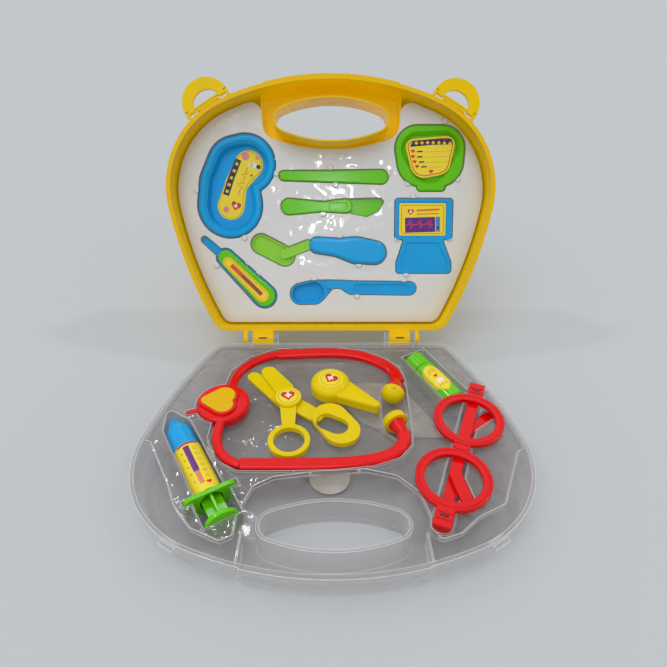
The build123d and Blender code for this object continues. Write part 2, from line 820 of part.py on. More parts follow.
# ---------------------------------------------------------------- heart monitor
with BuildPart() as monitor_body:
    extrude(monitor_outline(lid_level(lid_flange_depth + monitor_height)), amount=monitor_height)
    with BuildSketch(lid_level(lid_flange_depth)):
        with Locations((75.6, 96.4)):
            RectangleRounded(40.5, 28.5, 2)
    extrude(amount=-monitor_recess, mode=Mode.SUBTRACT)
    extrude(
        rounded(lid_level(lid_flange_depth), monitor_panel, 1.5),
        amount=-monitor_recess,
        mode=Mode.SUBTRACT,
    )
    extrude(
        monitor_outline(lid_level(lid_flange_depth + monitor_height), -toy_wall),
        amount=monitor_height - monitor_recess - toy_wall,
        mode=Mode.SUBTRACT,
    )
monitor_body.part.label = "monitor_body"
export_step(monitor_body.part, "parts/monitor_body.step")

with BuildPart() as monitor_label:
    with BuildSketch(lid_level(lid_flange_depth + monitor_recess)):
        with Locations((75.6, 96.4)):
            RectangleRounded(38.5, 26.5, 1)
    extrude(amount=label_thickness)
monitor_label.part.label = "monitor_label"
export_step(monitor_label.part, "parts/monitor_label.step")

# ---------------------------------------------------------------- lid tray
lid_pockets = (
    (dish_outline, lid_flange_depth + dish_height),
    (scalpel_outline, lid_flange_depth + scalpel_height),
    (mirror_head_outline, mirror_floor - 4.0),
    (spoon_outline, lid_flange_depth + spoon_height + 2),
    (thermometer_outline, lid_flange_depth + thermometer_height),
    (badge_outline, lid_flange_depth + badge_height),
    (monitor_outline, lid_flange_depth + monitor_height),
)
lid_chains = (
    ((tweezer_tip, tweezer_end), lid_flange_depth + tweezer_height),
    (mirror_grip, mirror_floor),
)
nub_radius = 2.6  # the nubs that hold the toys in their pockets
nub_height = 1.3
nub_gap = 0.25
tray_nubs = (
    (-109.2, 119.5), (-71.5, 81.4), (-45.0, 133.0), (-0.5, 138.0), (3.5, 124.2), (46.8, 133.4),
    (-4.8, 112.4), (-6.5, 100.8), (7.0, 82.6), (23.0, 59.0), (-71.0, 58.5), (-61.5, 50.8),
    (-71.0, 37.6), (-95.0, 58.6), (-14.0, 47.4), (21.5, 33.2), (61.0, 46.2),
    (92.4, 174.8), (63.0, 125.4), (103.8, 128.8), (67.5, 115.2), (54.6, 80.6), (98.2, 80.8),
    (62.5, 51.2),
)
with BuildPart() as lid_tray:
    with BuildSketch(lid_level(lid_flange_depth)) as lid_flange:
        add(case_outline(Plane.XY, lid_wall + slope(lid_flange_depth + lid_sheet) + lid_tray_gap))
        add(chamber_outline(Plane.XY, 0.6, -5), mode=Mode.SUBTRACT)
        corners = [v for v in lid_flange.vertices() if v.Y > handle_s and abs(v.X) < chamber_spread + 5]
        fillet(corners, tray_corner)
    extrude(amount=-lid_sheet)
    for outline, floor in lid_pockets:
        extrude(
            outline(lid_level(lid_flange_depth), item_gap + lid_sheet),
            amount=lid_flange_depth - floor - pocket_clearance - lid_sheet,
        )
    for discs, floor in lid_chains:
        extrude(
            chain(lid_level(lid_flange_depth), discs, item_gap + lid_sheet),
            amount=lid_flange_depth - floor - pocket_clearance - lid_sheet,
        )
    for outline, floor in lid_pockets:
        extrude(
            outline(lid_level(lid_flange_depth), item_gap),
            amount=lid_flange_depth - floor - pocket_clearance,
            mode=Mode.SUBTRACT,
        )
    for discs, floor in lid_chains:
        extrude(
            chain(lid_level(lid_flange_depth), discs, item_gap),
            amount=lid_flange_depth - floor - pocket_clearance,
            mode=Mode.SUBTRACT,
        )
    for x, s in tray_nubs:
        with BuildSketch(lid_level(lid_flange_depth + lid_sheet / 2)):
            with Locations((x, s)):
                Circle(nub_radius)
        extrude(amount=nub_height + lid_sheet / 2, taper=25)
    for outline, floor in lid_pockets:
        extrude(
            outline(lid_level(lid_flange_depth - nub_height - 1), nub_gap),
            amount=-nub_height - 2,
            mode=Mode.SUBTRACT,
        )
    for discs, floor in lid_chains:
        extrude(
            chain(lid_level(lid_flange_depth - nub_height - 1), discs, nub_gap),
            amount=-nub_height - 2,
            mode=Mode.SUBTRACT,
        )
lid_tray.part.label = "lid_tray"
export_step(lid_tray.part, "parts/lid_tray.step")


# ================================================================ base items
# Heights are above the rim plane; a height below it is negative.
tube_width = 9.0
tube_height = 5.2
tube_top = 0.0
tube_round = 2.2
thin_tube_width = 6.5
upper_tube_path = (
    (-42.0, 18.0), (-20.0, 16.6), (1.8, 16.2), (24.0, 20.2), (38.0, 28.5), (46.4, 37.5), (48.9, 49.0),
)
lower_tube_path = (
    (-60.0, 126.4), (-30.0, 126.6), (0.3, 126.0), (25.0, 123.2), (40.0, 117.5), (47.0, 109.5), (48.0, 100.0),
)
upper_thin_path = ((-73.5, 56.0), (-71.0, 40.0), (-60.0, 26.5), (-42.0, 18.0))
lower_thin_path = ((-77.5, 90.0), (-78.2, 104.0), (-72.0, 119.0), (-60.0, 126.4))
upper_cup_spot = (45.0, 60.0)
lower_cup_spot = (44.5, 91.0)
cup_height = -3.2
cup_radius = 8.6
flare_start = 3.2
cup_wall = 1.6

chest_centre = (-78.0, 72.5)
chest_radius = 18.6
chest_bottom = -5.4
chest_top = 0.8
heart_discs = ((-77.6, 67.9, 8.0), (-89.6, 72.3, 4.0), (-77.4, 77.0, 7.4))
heart_height = 2.0
heart_collar = (2.0, 1.5)  # width and height of the bezel round the heart
heart_gap = 0.15
chest_tab = ((-96.0, 79.5, 1.6), (-101.5, 81.5, 1.4))

scissor_pivot = (-32.0, 67.0)
scissor_bottom = -5.4
scissor_layer = 1.9
scissor_gap = 0.15
scissor_cap_radius = 9.7
scissor_pin_radius = 2.5
left_blade = ((-32.0, 67.0, 8.8), (-59.4, 41.8, 4.6))
right_blade = ((-32.0, 67.0, 7.0), (-36.0, 56.0, 7.0), (-48.0, 38.6, 5.6))
round_loop = (-29.6, 106.3, 14.2)
round_loop_hole = 10.6
round_loop_arm = ((-32.0, 67.0, 6.5), (-30.6, 92.0, 4.6))
oval_loop = ((-2.0, 85.0, 12.5), (6.3, 97.3, 12.6))
oval_loop_hole = ((-4.2, 90.0, 7.4), (3.4, 94.2, 7.4))
oval_loop_arm = ((-32.0, 67.0, 6.5), (-12.0, 82.0, 5.6))

scope_centre = (-1.3, 54.0)
scope_radius = 14.5
scope_bottom = -5.4
scope_top = 5.0
scope_round = 5.0
scope_aim = 34.2  # degrees, from +X towards the front
nozzle_discs = ((8.0, 10.0), (39.0, 3.2))  # distance from the centre, radius
nozzle_height = 8.0
nozzle_round = 2.6

syringe_tip = (-113.0, 83.0)
syringe_aim = 60.5  # degrees, from +X towards the front
syringe_height = -7.3
barrel_span = (14.5, 74.0)  # along the syringe from its tip
tip_radius = 2.2
barrel_outer = 8.8
barrel_bore = 7.45
syringe_label_span = (32.5, 72.0)
grip_span = (74.0, 77.0)
grip_plate = (34.0, 17.0)
plunger_travel = 16.0
piston_span = (46.0, 52.0)
piston_radius = 7.4
thumb_span = (93.5, 96.5)
thumb_radius = 11.2

bottle_end = (65.0, 18.2)
bottle_aim = 61.4  # degrees, from +X towards the front
bottle_height = -9.0
bottle_cap = (9.0, 15.0)  # radius, length
bottle_body = (9.5, 39.0)
bottle_label_discs = ((13.8, 8.0), (24.0, 7.4), (30.6, 1.0))  # distance from the cap, radius

glasses_centre = (84.3, 116.5)
glasses_aim = 111.1  # degrees, from +X towards the front
lens_spread = 26.6
lens_outer = 24.0
lens_inner = 18.2
lens_thickness = 3.2
frame_bottom = -0.3
tab_width = 11.0
tab_reach = 63.0
temple_pivot = 60.0
temple_thickness = 3.1
temple_width = 7.8
temple_gap = 0.3
temple_pin_radius = 0.8
temple_clearance = 0.05
temple_bend = 20.0
temple_hook = (41.0, 13.0)


def along(start, aim, distance, height):
    """World position on a line over the base, at a height from the rim plane."""
    x, s = on_arc(start, distance, aim)
    return (x, origin_s - s, rim_height + height)


def across(start, aim, distance, height):
    """Plane square to such a line: local x to its left seen from above, local y up."""
    turn = math.radians(aim)
    return Plane(
        origin=along(start, aim, distance, height),
        x_dir=(math.sin(turn), math.cos(turn), 0),
        z_dir=(math.cos(turn), -math.sin(turn), 0),
    )


def tube(path, width, height):
    """A flattened tube along a path in the base, its top at the tube height."""
    with BuildLine(base_level(tube_height / 2 - tube_top)) as line:
        Spline(*path)
    start = line.line @ 0
    heading = line.line % 0
    with BuildSketch(Plane(origin=start, x_dir=heading.cross(Vector(0, 0, 1)), z_dir=heading)) as s:
        RectangleRounded(width, height, tube_round)
    return sweep(s.sketch, path=line.line, mode=Mode.PRIVATE)


# ---------------------------------------------------------------- stethoscope
def cup_plane(spot, path_end, distance):
    """Plane square to the line from a tube's end to its cup."""
    aim = math.degrees(math.atan2(spot[1] - path_end[1], spot[0] - path_end[0]))
    return across(spot, aim, distance, cup_height)


with BuildPart() as stethoscope_chestpiece:
    with BuildSketch(base_level(-chest_bottom)):
        with Locations(chest_centre):
            Circle(chest_radius)
    extrude(amount=chest_bottom - chest_top)
    fillet(stethoscope_chestpiece.edges().group_by(base_down)[0], 2.0)
    with BuildSketch(base_level(-chest_top + 0.5)):
        add(swept_discs(Plane.XY, heart_discs[:2], heart_collar[0]))
        add(swept_discs(Plane.XY, heart_discs[1:], heart_collar[0]))
    extrude(amount=-heart_collar[1] - 0.5)
    with BuildSketch(base_level(-chest_top)):
        add(swept_discs(Plane.XY, heart_discs[:2], heart_gap))
        add(swept_discs(Plane.XY, heart_discs[1:], heart_gap))
    extrude(amount=-heart_collar[1] - 1, mode=Mode.SUBTRACT)
    extrude(swept_discs(base_level(3.5), chest_tab), amount=-2.5)
    add(tube(upper_thin_path, thin_tube_width, tube_height))
    add(tube(lower_thin_path, thin_tube_width, tube_height))
    add(tube(upper_tube_path, tube_width, tube_height), mode=Mode.SUBTRACT)
    add(tube(lower_tube_path, tube_width, tube_height), mode=Mode.SUBTRACT)
stethoscope_chestpiece.part.label = "stethoscope_chestpiece"
export_step(stethoscope_chestpiece.part, "parts/stethoscope_chestpiece.step")

with BuildPart() as heart_button:
    extrude(swept_discs(base_level(-chest_top), heart_discs[:2]), amount=-heart_height)
    extrude(swept_discs(base_level(-chest_top), heart_discs[1:]), amount=-heart_height)
    fillet(heart_button.edges().group_by(base_down)[0], 0.6)
heart_button.part.label = "heart_button"
export_step(heart_button.part, "parts/heart_button.step")

with BuildPart() as upper_ear_tube:
    add(tube(upper_tube_path, tube_width, tube_height))
    with BuildSketch(cup_plane(upper_cup_spot, upper_tube_path[-1], -13)):
        Circle(flare_start)
    extrude(amount=13, taper=-math.degrees(math.atan((cup_radius - flare_start) / 13)))
upper_ear_tube.part.label = "upper_ear_tube"
export_step(upper_ear_tube.part, "parts/upper_ear_tube.step")

with BuildPart() as upper_ear_cup:
    with BuildSketch(cup_plane(upper_cup_spot, upper_tube_path[-1], 0)):
        Circle(cup_radius)
    extrude(amount=cup_radius)
    facing = Axis(
        cup_plane(upper_cup_spot, upper_tube_path[-1], 0).origin,
        cup_plane(upper_cup_spot, upper_tube_path[-1], 0).z_dir,
    )
    fillet(upper_ear_cup.edges().group_by(facing)[-1], cup_radius - 0.2)
upper_ear_cup.part.label = "upper_ear_cup"
export_step(upper_ear_cup.part, "parts/upper_ear_cup.step")

with BuildPart() as lower_ear_tube:
    add(tube(lower_tube_path, tube_width, tube_height))
    with BuildSketch(cup_plane(lower_cup_spot, lower_tube_path[-1], -11)):
        Circle(flare_start)
    extrude(amount=11, taper=-math.degrees(math.atan((cup_radius - 2.5 - flare_start) / 11)))
lower_ear_tube.part.label = "lower_ear_tube"
export_step(lower_ear_tube.part, "parts/lower_ear_tube.step")

with BuildPart() as lower_ear_cup:
    with Locations(cup_plane(lower_cup_spot, lower_tube_path[-1], 5)):
        Cylinder(cup_radius, 5, align=(Align.CENTER, Align.CENTER, Align.MAX))
        Cylinder(
            cup_radius - cup_wall, 4.2, align=(Align.CENTER, Align.CENTER, Align.MAX),
            mode=Mode.SUBTRACT,
        )
lower_ear_cup.part.label = "lower_ear_cup"
export_step(lower_ear_cup.part, "parts/lower_ear_cup.step")

# ---------------------------------------------------------------- scissors
scissor_top = scissor_bottom + 2 * scissor_layer + scissor_gap
with BuildPart() as scissors_fixed_blade:
    extrude(swept_discs(base_level(-scissor_bottom), left_blade), amount=-scissor_layer)
    extrude(swept_discs(base_level(-scissor_bottom), oval_loop_arm), amount=-scissor_layer)
    with BuildSketch(base_level(-scissor_bottom)):
        add(swept_discs(Plane.XY, oval_loop))
        add(swept_discs(Plane.XY, oval_loop_hole), mode=Mode.SUBTRACT)
    extrude(amount=scissor_bottom - scissor_top)
    with BuildSketch(base_level(-scissor_bottom)):
        with Locations(scissor_pivot):
            Circle(scissor_pin_radius)
    extrude(amount=scissor_bottom - scissor_top - scissor_gap)
scissors_fixed_blade.part.label = "scissors_fixed_blade"
export_step(scissors_fixed_blade.part, "parts/scissors_fixed_blade.step")

with BuildPart() as scissors_moving_blade:
    moving_level = base_level(-scissor_bottom - scissor_layer - scissor_gap)
    extrude(chain(moving_level, right_blade), amount=-scissor_layer)
    extrude(swept_discs(moving_level, round_loop_arm), amount=-scissor_layer)
    with BuildSketch(base_level(-scissor_bottom)):
        with Locations(round_loop[:2]):
            Circle(round_loop[2])
    extrude(amount=scissor_bottom - scissor_top)
    with BuildSketch(base_level(-scissor_bottom)):
        with Locations(round_loop[:2]):
            Circle(round_loop_hole)
        with Locations(scissor_pivot):
            Circle(scissor_pin_radius + 0.05)
    extrude(amount=scissor_bottom - scissor_top, mode=Mode.SUBTRACT)
scissors_moving_blade.part.label = "scissors_moving_blade"
export_step(scissors_moving_blade.part, "parts/scissors_moving_blade.step")

with BuildPart() as scissors_cap:
    with BuildSketch(base_level(-scissor_top - scissor_gap)):
        with Locations(scissor_pivot):
            Circle(scissor_cap_radius)
    extrude(amount=-1.6)
    fillet(scissors_cap.edges().group_by(base_down)[0], 0.8)
scissors_cap.part.label = "scissors_cap"
export_step(scissors_cap.part, "parts/scissors_cap.step")

with BuildPart() as scissors_label:
    with BuildSketch(base_level(-scissor_top - scissor_gap - 1.6)):
        with Locations(scissor_pivot):
            Circle(scissor_cap_radius - 1.2)
    extrude(amount=-label_thickness)
scissors_label.part.label = "scissors_label"
export_step(scissors_label.part, "parts/scissors_label.step")

# ---------------------------------------------------------------- otoscope
def scope_outline(plane, grow=0.0):
    """The otoscope's nozzle."""
    discs = [(*on_arc(scope_centre, d, scope_aim), radius) for d, radius in nozzle_discs]
    return swept_discs(plane, discs, grow)


with BuildPart() as scope_nozzle:
    extrude(scope_outline(base_level(-scope_bottom), 0.0), amount=-nozzle_height)
    fillet(scope_nozzle.edges().group_by(base_down)[0], nozzle_round)

with BuildPart() as otoscope_body:
    with BuildSketch(base_level(-scope_bottom)):
        with Locations(scope_centre):
            Circle(scope_radius)
    extrude(amount=scope_bottom - scope_top)
    fillet(otoscope_body.edges().group_by(base_down)[0], scope_round)
    add(scope_nozzle.part)
otoscope_body.part.label = "otoscope_body"
export_step(otoscope_body.part, "parts/otoscope_body.step")

with BuildPart() as otoscope_label:
    with BuildSketch(base_level(-scope_top)):
        with Locations(scope_centre):
            Circle(scope_radius - scope_round - 0.3)
    extrude(amount=-label_thickness)
otoscope_label.part.label = "otoscope_label"
export_step(otoscope_label.part, "parts/otoscope_label.step")


# ---------------------------------------------------------------- syringe
def syringe_across(distance):
    """Plane square to the syringe at a distance from its tip."""
    return across(syringe_tip, syringe_aim, distance, syringe_height)


barrel_start, barrel_end = barrel_span
with BuildPart() as syringe_barrel:
    with BuildSketch(syringe_across(barrel_start)):
        Circle(barrel_outer)
    extrude(amount=barrel_end - barrel_start)
    with BuildSketch(syringe_across(0)):
        Circle(tip_radius)
    extrude(
        amount=barrel_start,
        taper=-math.degrees(math.atan((barrel_outer - tip_radius) / barrel_start)),
    )
    with BuildSketch(syringe_across(barrel_start + 2)):
        Circle(barrel_bore)
    extrude(amount=barrel_end - barrel_start, mode=Mode.SUBTRACT)
syringe_barrel.part.label = "syringe_barrel"
export_step(syringe_barrel.part, "parts/syringe_barrel.step")

with BuildPart() as syringe_grip:
    with BuildSketch(syringe_across(grip_span[0])):
        RectangleRounded(*grip_plate, 5.0)
        Circle(barrel_bore, mode=Mode.SUBTRACT)
    extrude(amount=grip_span[1] - grip_span[0])
syringe_grip.part.label = "syringe_grip"
export_step(syringe_grip.part, "parts/syringe_grip.step")

with BuildPart() as syringe_plunger:
    with BuildSketch(syringe_across(piston_span[0])):
        Circle(piston_radius)
    extrude(amount=piston_span[1] - piston_span[0])
    with BuildSketch(syringe_across(piston_span[1])):
        Rectangle(2 * piston_radius - 2, 1.8)
        Rectangle(1.8, 2 * piston_radius - 2)
    extrude(amount=thumb_span[0] - piston_span[1])
    with BuildSketch(syringe_across(thumb_span[0])):
        Circle(thumb_radius)
    extrude(amount=thumb_span[1] - thumb_span[0])
syringe_plunger.part.label = "syringe_plunger"
export_step(syringe_plunger.part, "parts/syringe_plunger.step")

with BuildPart() as syringe_label:
    with BuildSketch(syringe_across(syringe_label_span[0])):
        Circle(barrel_outer + label_thickness)
        Circle(barrel_outer, mode=Mode.SUBTRACT)
        with Locations((0, 6 - 20)):
            Rectangle(40, 20 + barrel_outer, mode=Mode.SUBTRACT)
    extrude(amount=syringe_label_span[1] - syringe_label_span[0])
syringe_label.part.label = "syringe_label"
export_step(syringe_label.part, "parts/syringe_label.step")

# ---------------------------------------------------------------- medicine bottle
cap_radius, cap_length = bottle_cap
body_radius, body_length = bottle_body
with BuildPart() as medicine_bottle:
    with BuildSketch(across(bottle_end, bottle_aim, 0, bottle_height)):
        Circle(cap_radius)
    extrude(amount=cap_length - 1)
    with BuildSketch(across(bottle_end, bottle_aim, cap_length - 1, bottle_height)):
        Circle(cap_radius - 1.2)
    extrude(amount=1)
    with BuildSketch(across(bottle_end, bottle_aim, cap_length, bottle_height)):
        Circle(body_radius)
    extrude(amount=body_length)
    lying = Axis(
        along(bottle_end, bottle_aim, 0, bottle_height), across(bottle_end, bottle_aim, 0, 0).z_dir
    )
    fillet(medicine_bottle.edges().group_by(lying)[0], 1.2)
    fillet(medicine_bottle.edges().group_by(lying)[-1], 3.0)
medicine_bottle.part.label = "medicine_bottle"
export_step(medicine_bottle.part, "parts/medicine_bottle.step")

with BuildPart() as bottle_label:
    with BuildSketch(across(bottle_end, bottle_aim, cap_length + 6, bottle_height)):
        Circle(body_radius + label_thickness)
        Circle(body_radius, mode=Mode.SUBTRACT)
        with Locations((0, 5 - 20)):
            Rectangle(40, 20 + body_radius, mode=Mode.SUBTRACT)
    extrude(amount=body_length * 0.66)
    label_span = [
        (*on_arc(bottle_end, cap_length + distance, bottle_aim), radius)
        for distance, radius in bottle_label_discs
    ]
    extrude(swept_discs(base_level(0), label_span), amount=-base_depth, mode=Mode.INTERSECT)
bottle_label.part.label = "bottle_label"
export_step(bottle_label.part, "parts/bottle_label.step")


# ---------------------------------------------------------------- glasses
def glasses_level(height):
    """Plane over the base: local x along the glasses to the front, extrusions go up."""
    turn = math.radians(glasses_aim)
    return Plane(
        origin=(glasses_centre[0], origin_s - glasses_centre[1], rim_height + height),
        x_dir=(math.cos(turn), -math.sin(turn), 0),
        z_dir=(0, 0, 1),
    )


def temple_section(end, start):
    """Plane across a temple's hinge; end is -1 at the rear hinge and 1 at the front one."""
    level = glasses_level(0)
    return Plane(
        origin=level.origin + level.x_dir * end * temple_pivot + level.y_dir * start,
        x_dir=-level.x_dir,
        z_dir=level.y_dir,
    )


upper_temple_height = frame_bottom - temple_gap - temple_thickness / 2
lower_temple_height = upper_temple_height - temple_thickness - temple_gap
with BuildPart() as glasses_frame:
    with BuildSketch(glasses_level(frame_bottom)):
        with Locations((-lens_spread, 0), (lens_spread, 0)):
            Circle(lens_outer)
        Rectangle(2 * (lens_spread - lens_inner), 10)
        Rectangle(2 * tab_reach, tab_width)
        with Locations((-lens_spread, 0), (lens_spread, 0)):
            Circle(lens_inner, mode=Mode.SUBTRACT)
    extrude(amount=lens_thickness)
    for end, height in ((-1, upper_temple_height), (1, lower_temple_height)):
        for start in (-tab_width / 2, temple_width / 2 + temple_gap):
            with BuildSketch(temple_section(end, start)):
                with Locations((0, height)):
                    Circle(temple_thickness / 2)
                with Locations((0, (height + frame_bottom) / 2 + 0.5)):
                    Rectangle(temple_thickness, frame_bottom - height + 1)
            extrude(amount=tab_width / 2 - temple_width / 2 - temple_gap)
        with BuildSketch(temple_section(end, -tab_width / 2)):
            with Locations((0, height)):
                Circle(temple_pin_radius)
        extrude(amount=tab_width)
glasses_frame.part.label = "glasses_frame"
export_step(glasses_frame.part, "parts/glasses_frame.step")



def temple(end, height):
    """A folded temple under the frame, hooked at its far end."""
    with BuildPart(mode=Mode.PRIVATE) as arm:
        with BuildSketch(glasses_level(height - temple_thickness / 2)):
            with Locations((end * (temple_pivot - temple_bend) / 2, 0)):
                Rectangle(temple_pivot + temple_bend, temple_width)
            add(
                swept_discs(
                    Plane.XY,
                    (
                        (-end * temple_bend, 0, temple_width / 2),
                        (-end * temple_hook[0], temple_hook[1], temple_width / 2),
                    ),
                )
            )
        extrude(amount=temple_thickness)
        with BuildSketch(temple_section(end, -temple_width / 2)):
            with Locations((0, height)):
                Circle(temple_thickness / 2)
        extrude(amount=temple_width)
        with BuildSketch(temple_section(end, -temple_width / 2)):
            with Locations((0, height)):
                Circle(temple_pin_radius + temple_clearance)
        extrude(amount=temple_width, mode=Mode.SUBTRACT)
    return arm.part


with BuildPart() as upper_temple:
    add(temple(-1, upper_temple_height))
upper_temple.part.label = "upper_temple"
export_step(upper_temple.part, "parts/upper_temple.step")

with BuildPart() as lower_temple:
    add(temple(1, lower_temple_height))
lower_temple.part.label = "lower_temple"
export_step(lower_temple.part, "parts/lower_temple.step")


# ---------------------------------------------------------------- base tray
recess_floor = 5.6
cup_floor = 12.2
base_edge = (
    (-160.0, 0.0), (-160.0, 96.0), (-122.0, 108.0), (-103.0, 143.0), (-96.5, 158.0),
    (-84.0, 173.0), (-66.0, 181.5), (-58.5, 178.0), (-57.5, 163.0), (-50.0, 144.0),
    (-38.0, 137.0), (-3.0, 132.0), (21.0, 131.5), (40.0, 136.6), (53.0, 149.5), (58.0, 170.0),
    (60.5, 182.0), (74.0, 177.5), (86.0, 167.0), (104.0, 158.0), (122.0, 118.0), (160.0, 96.0),
    (160.0, 0.0),
)
skirt_height = 4.0


def stethoscope_outline(plane, grow=0.0):
    """The recess inside and under the stethoscope."""
    loop = (
        *upper_thin_path[:-1], *upper_tube_path, upper_cup_spot, lower_cup_spot,
        *lower_tube_path[::-1], *lower_thin_path[-2::-1],
    )
    with BuildSketch(plane) as shape:
        with BuildLine():
            Polyline(*loop, close=True)
        make_face()
        offset(amount=tube_width / 2 + 0.4 + grow)
        with Locations(chest_centre):
            Circle(chest_radius + grow)
        add(swept_discs(Plane.XY, chest_tab, grow))
    return shape.sketch


def cups_outline(plane, grow=0.0):
    """The deeper recess under the ear cups."""
    discs = (
        (*upper_tube_path[-1], tube_width / 2), (*upper_cup_spot, cup_radius),
        (*lower_cup_spot, cup_radius), (*lower_tube_path[-1], tube_width / 2),
    )
    return chain(plane, discs, grow)


def lying(start, aim, span, width, grow=0.0):
    """A rectangle along a line over the base, for a sketch in (x, s)."""
    middle = on_arc(start, (span[0] + span[1]) / 2, aim)
    with BuildSketch() as shape:
        with Locations(middle):
            Rectangle(span[1] - span[0] + 2 * grow, width + 2 * grow, rotation=aim)
    return shape.sketch


def nozzle_outline(plane, grow=0.0):
    """The syringe's nozzle."""
    discs = (
        (*syringe_tip, tip_radius),
        (*on_arc(syringe_tip, barrel_span[0], syringe_aim), barrel_outer),
    )
    return swept_discs(plane, discs, grow)


def grip_outline(plane, grow=0.0):
    """The syringe's finger grip."""
    with BuildSketch(plane) as shape:
        add(lying(syringe_tip, syringe_aim, grip_span, grip_plate[0], grow))
    return shape.sketch


def trough(lie, grow, top):
    """A lying cylinder's hollow, open upwards to a height."""
    start, aim, span, radius, height = lie
    with BuildSketch(across(start, aim, span[0] - grow, height)) as section:
        Circle(radius + grow)
        with Locations((0, radius + grow)):
            Rectangle(2 * (radius + grow), 2 * (radius + grow), mode=Mode.SUBTRACT)
        with Locations((0, (top - height) / 2)):
            Rectangle(2 * (radius + grow), top - height)
    return extrude(section.sketch, amount=span[1] - span[0] + 2 * grow, mode=Mode.PRIVATE)


def temples_outline(plane, grow=0.0):
    """The glasses' folded temples and hinges."""
    ends = [
        (*on_arc(glasses_centre, end * (temple_pivot - 1), glasses_aim), tab_width / 2)
        for end in (-1, 1)
    ]
    side = glasses_aim + 90
    with BuildSketch(plane) as shape:
        add(swept_discs(Plane.XY, ends, grow))
        for end in (-1, 1):
            bend = on_arc(glasses_centre, end * temple_bend, glasses_aim)
            tip = on_arc(
                on_arc(glasses_centre, end * temple_hook[0], glasses_aim), -temple_hook[1], side
            )
            add(swept_discs(Plane.XY, [(*spot, temple_width / 2) for spot in (bend, tip)], grow))
        add(case_outline(Plane.XY, base_wall + slope(9) + 1.1 - grow), mode=Mode.INTERSECT)
    return shape.sketch


base_pockets = (
    (stethoscope_outline, recess_floor),
    (cups_outline, cup_floor),
    (nozzle_outline, barrel_outer - syringe_height),
    (grip_outline, grip_plate[1] / 2 - syringe_height),
    (temples_outline, temple_thickness / 2 - lower_temple_height),
)
troughs = (
    (syringe_tip, syringe_aim, (barrel_span[0], grip_span[1]), barrel_outer, syringe_height),
    (
        syringe_tip, syringe_aim, (thumb_span[0] - plunger_travel - 1, thumb_span[1]), thumb_radius,
        syringe_height,
    ),
    (bottle_end, bottle_aim, (0, cap_length + body_length), body_radius, bottle_height),
)
with BuildPart() as base_tray:
    with BuildSketch(base_level(base_flange_depth)) as flange:
        add(case_outline(Plane.XY, base_wall + slope(base_flange_depth + skirt_height) + tray_gap))
        add(rounded(Plane.XY, base_edge, 3.0), mode=Mode.INTERSECT)
    extrude(amount=skirt_height)
    extrude(
        offset(flange.sketch, -base_sheet, mode=Mode.PRIVATE).moved(
            Location((0, 0, -base_sheet))
        ),
        amount=skirt_height,
        mode=Mode.SUBTRACT,
    )
    for outline, floor in base_pockets:
        extrude(
            outline(base_level(base_flange_depth), item_gap + base_sheet),
            amount=floor + pocket_clearance + base_sheet - base_flange_depth,
        )
    for lie in troughs:
        add(trough(lie, item_gap + base_sheet, -base_flange_depth))
    for outline, floor in base_pockets:
        extrude(
            outline(base_level(base_flange_depth), item_gap),
            amount=floor + pocket_clearance - base_flange_depth,
            mode=Mode.SUBTRACT,
        )
    for lie in troughs:
        add(trough(lie, item_gap, 1.0), mode=Mode.SUBTRACT)
base_tray.part.label = "base_tray"
export_step(base_tray.part, "parts/base_tray.step")

# ---------------------------------------------------------------- papers under the base tray
seal_centre = (-2.2, 122.7)
seal_radius = 13.8
paper_thickness = 0.2
paper_corners = (
    (83.0, 88.5), (60.0, 88.5), (38.0, 83.0), (22.0, 74.0), (12.0, 60.0), (12.0, 32.0), (52.0, 32.0),
)
with BuildPart() as round_seal:
    with BuildSketch(base_level(base_depth - base_wall - paper_thickness)):
        with Locations(seal_centre):
            Circle(seal_radius)
    extrude(amount=paper_thickness)
round_seal.part.label = "round_seal"
export_step(round_seal.part, "parts/round_seal.step")

with BuildPart() as paper_leaflet:
    extrude(
        rounded(base_level(base_depth - base_wall - paper_thickness), paper_corners, 3.0),
        amount=paper_thickness,
    )
paper_leaflet.part.label = "paper_leaflet"
export_step(paper_leaflet.part, "parts/paper_leaflet.step")
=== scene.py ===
import math
import bmesh
import bpy
import numpy as np
from mathutils import Matrix, Vector


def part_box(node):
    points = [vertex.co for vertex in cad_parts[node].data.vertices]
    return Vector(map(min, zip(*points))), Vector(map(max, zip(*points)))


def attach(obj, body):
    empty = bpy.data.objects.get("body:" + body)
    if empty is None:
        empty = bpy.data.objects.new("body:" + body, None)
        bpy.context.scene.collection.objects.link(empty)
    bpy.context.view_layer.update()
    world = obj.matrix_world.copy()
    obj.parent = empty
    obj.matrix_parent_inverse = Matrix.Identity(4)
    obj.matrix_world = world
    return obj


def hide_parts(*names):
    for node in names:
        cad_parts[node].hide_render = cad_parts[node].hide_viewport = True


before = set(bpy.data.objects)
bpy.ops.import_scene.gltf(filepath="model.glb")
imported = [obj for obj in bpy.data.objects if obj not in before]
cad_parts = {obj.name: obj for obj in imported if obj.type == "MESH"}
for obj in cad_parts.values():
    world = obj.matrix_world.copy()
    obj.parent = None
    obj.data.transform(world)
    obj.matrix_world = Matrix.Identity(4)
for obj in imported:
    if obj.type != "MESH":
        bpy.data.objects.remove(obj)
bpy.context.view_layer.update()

# Studio: one seamless pale grey floor in an even grey room, with a wide soft lamp above, another
# low behind the lid, and four small bright ones round it, whose reflections are the white glints
# on the plastic. The case stands on the floor, and the camera looks down on it from the front.
def linear(red, green, blue):
    """A colour as a painter mixes it, 0 to 255, turned to the linear values that light adds in."""
    steps = np.array([red, green, blue]) / 255
    straight, curved = steps / 12.92, ((steps + 0.055) / 1.055) ** 2.4
    return tuple(np.where(steps <= 0.04045, straight, curved)) + (1.0,)


def new_material(name):
    """An empty material."""
    material = bpy.data.materials.new(name)
    material.use_nodes = True
    return material


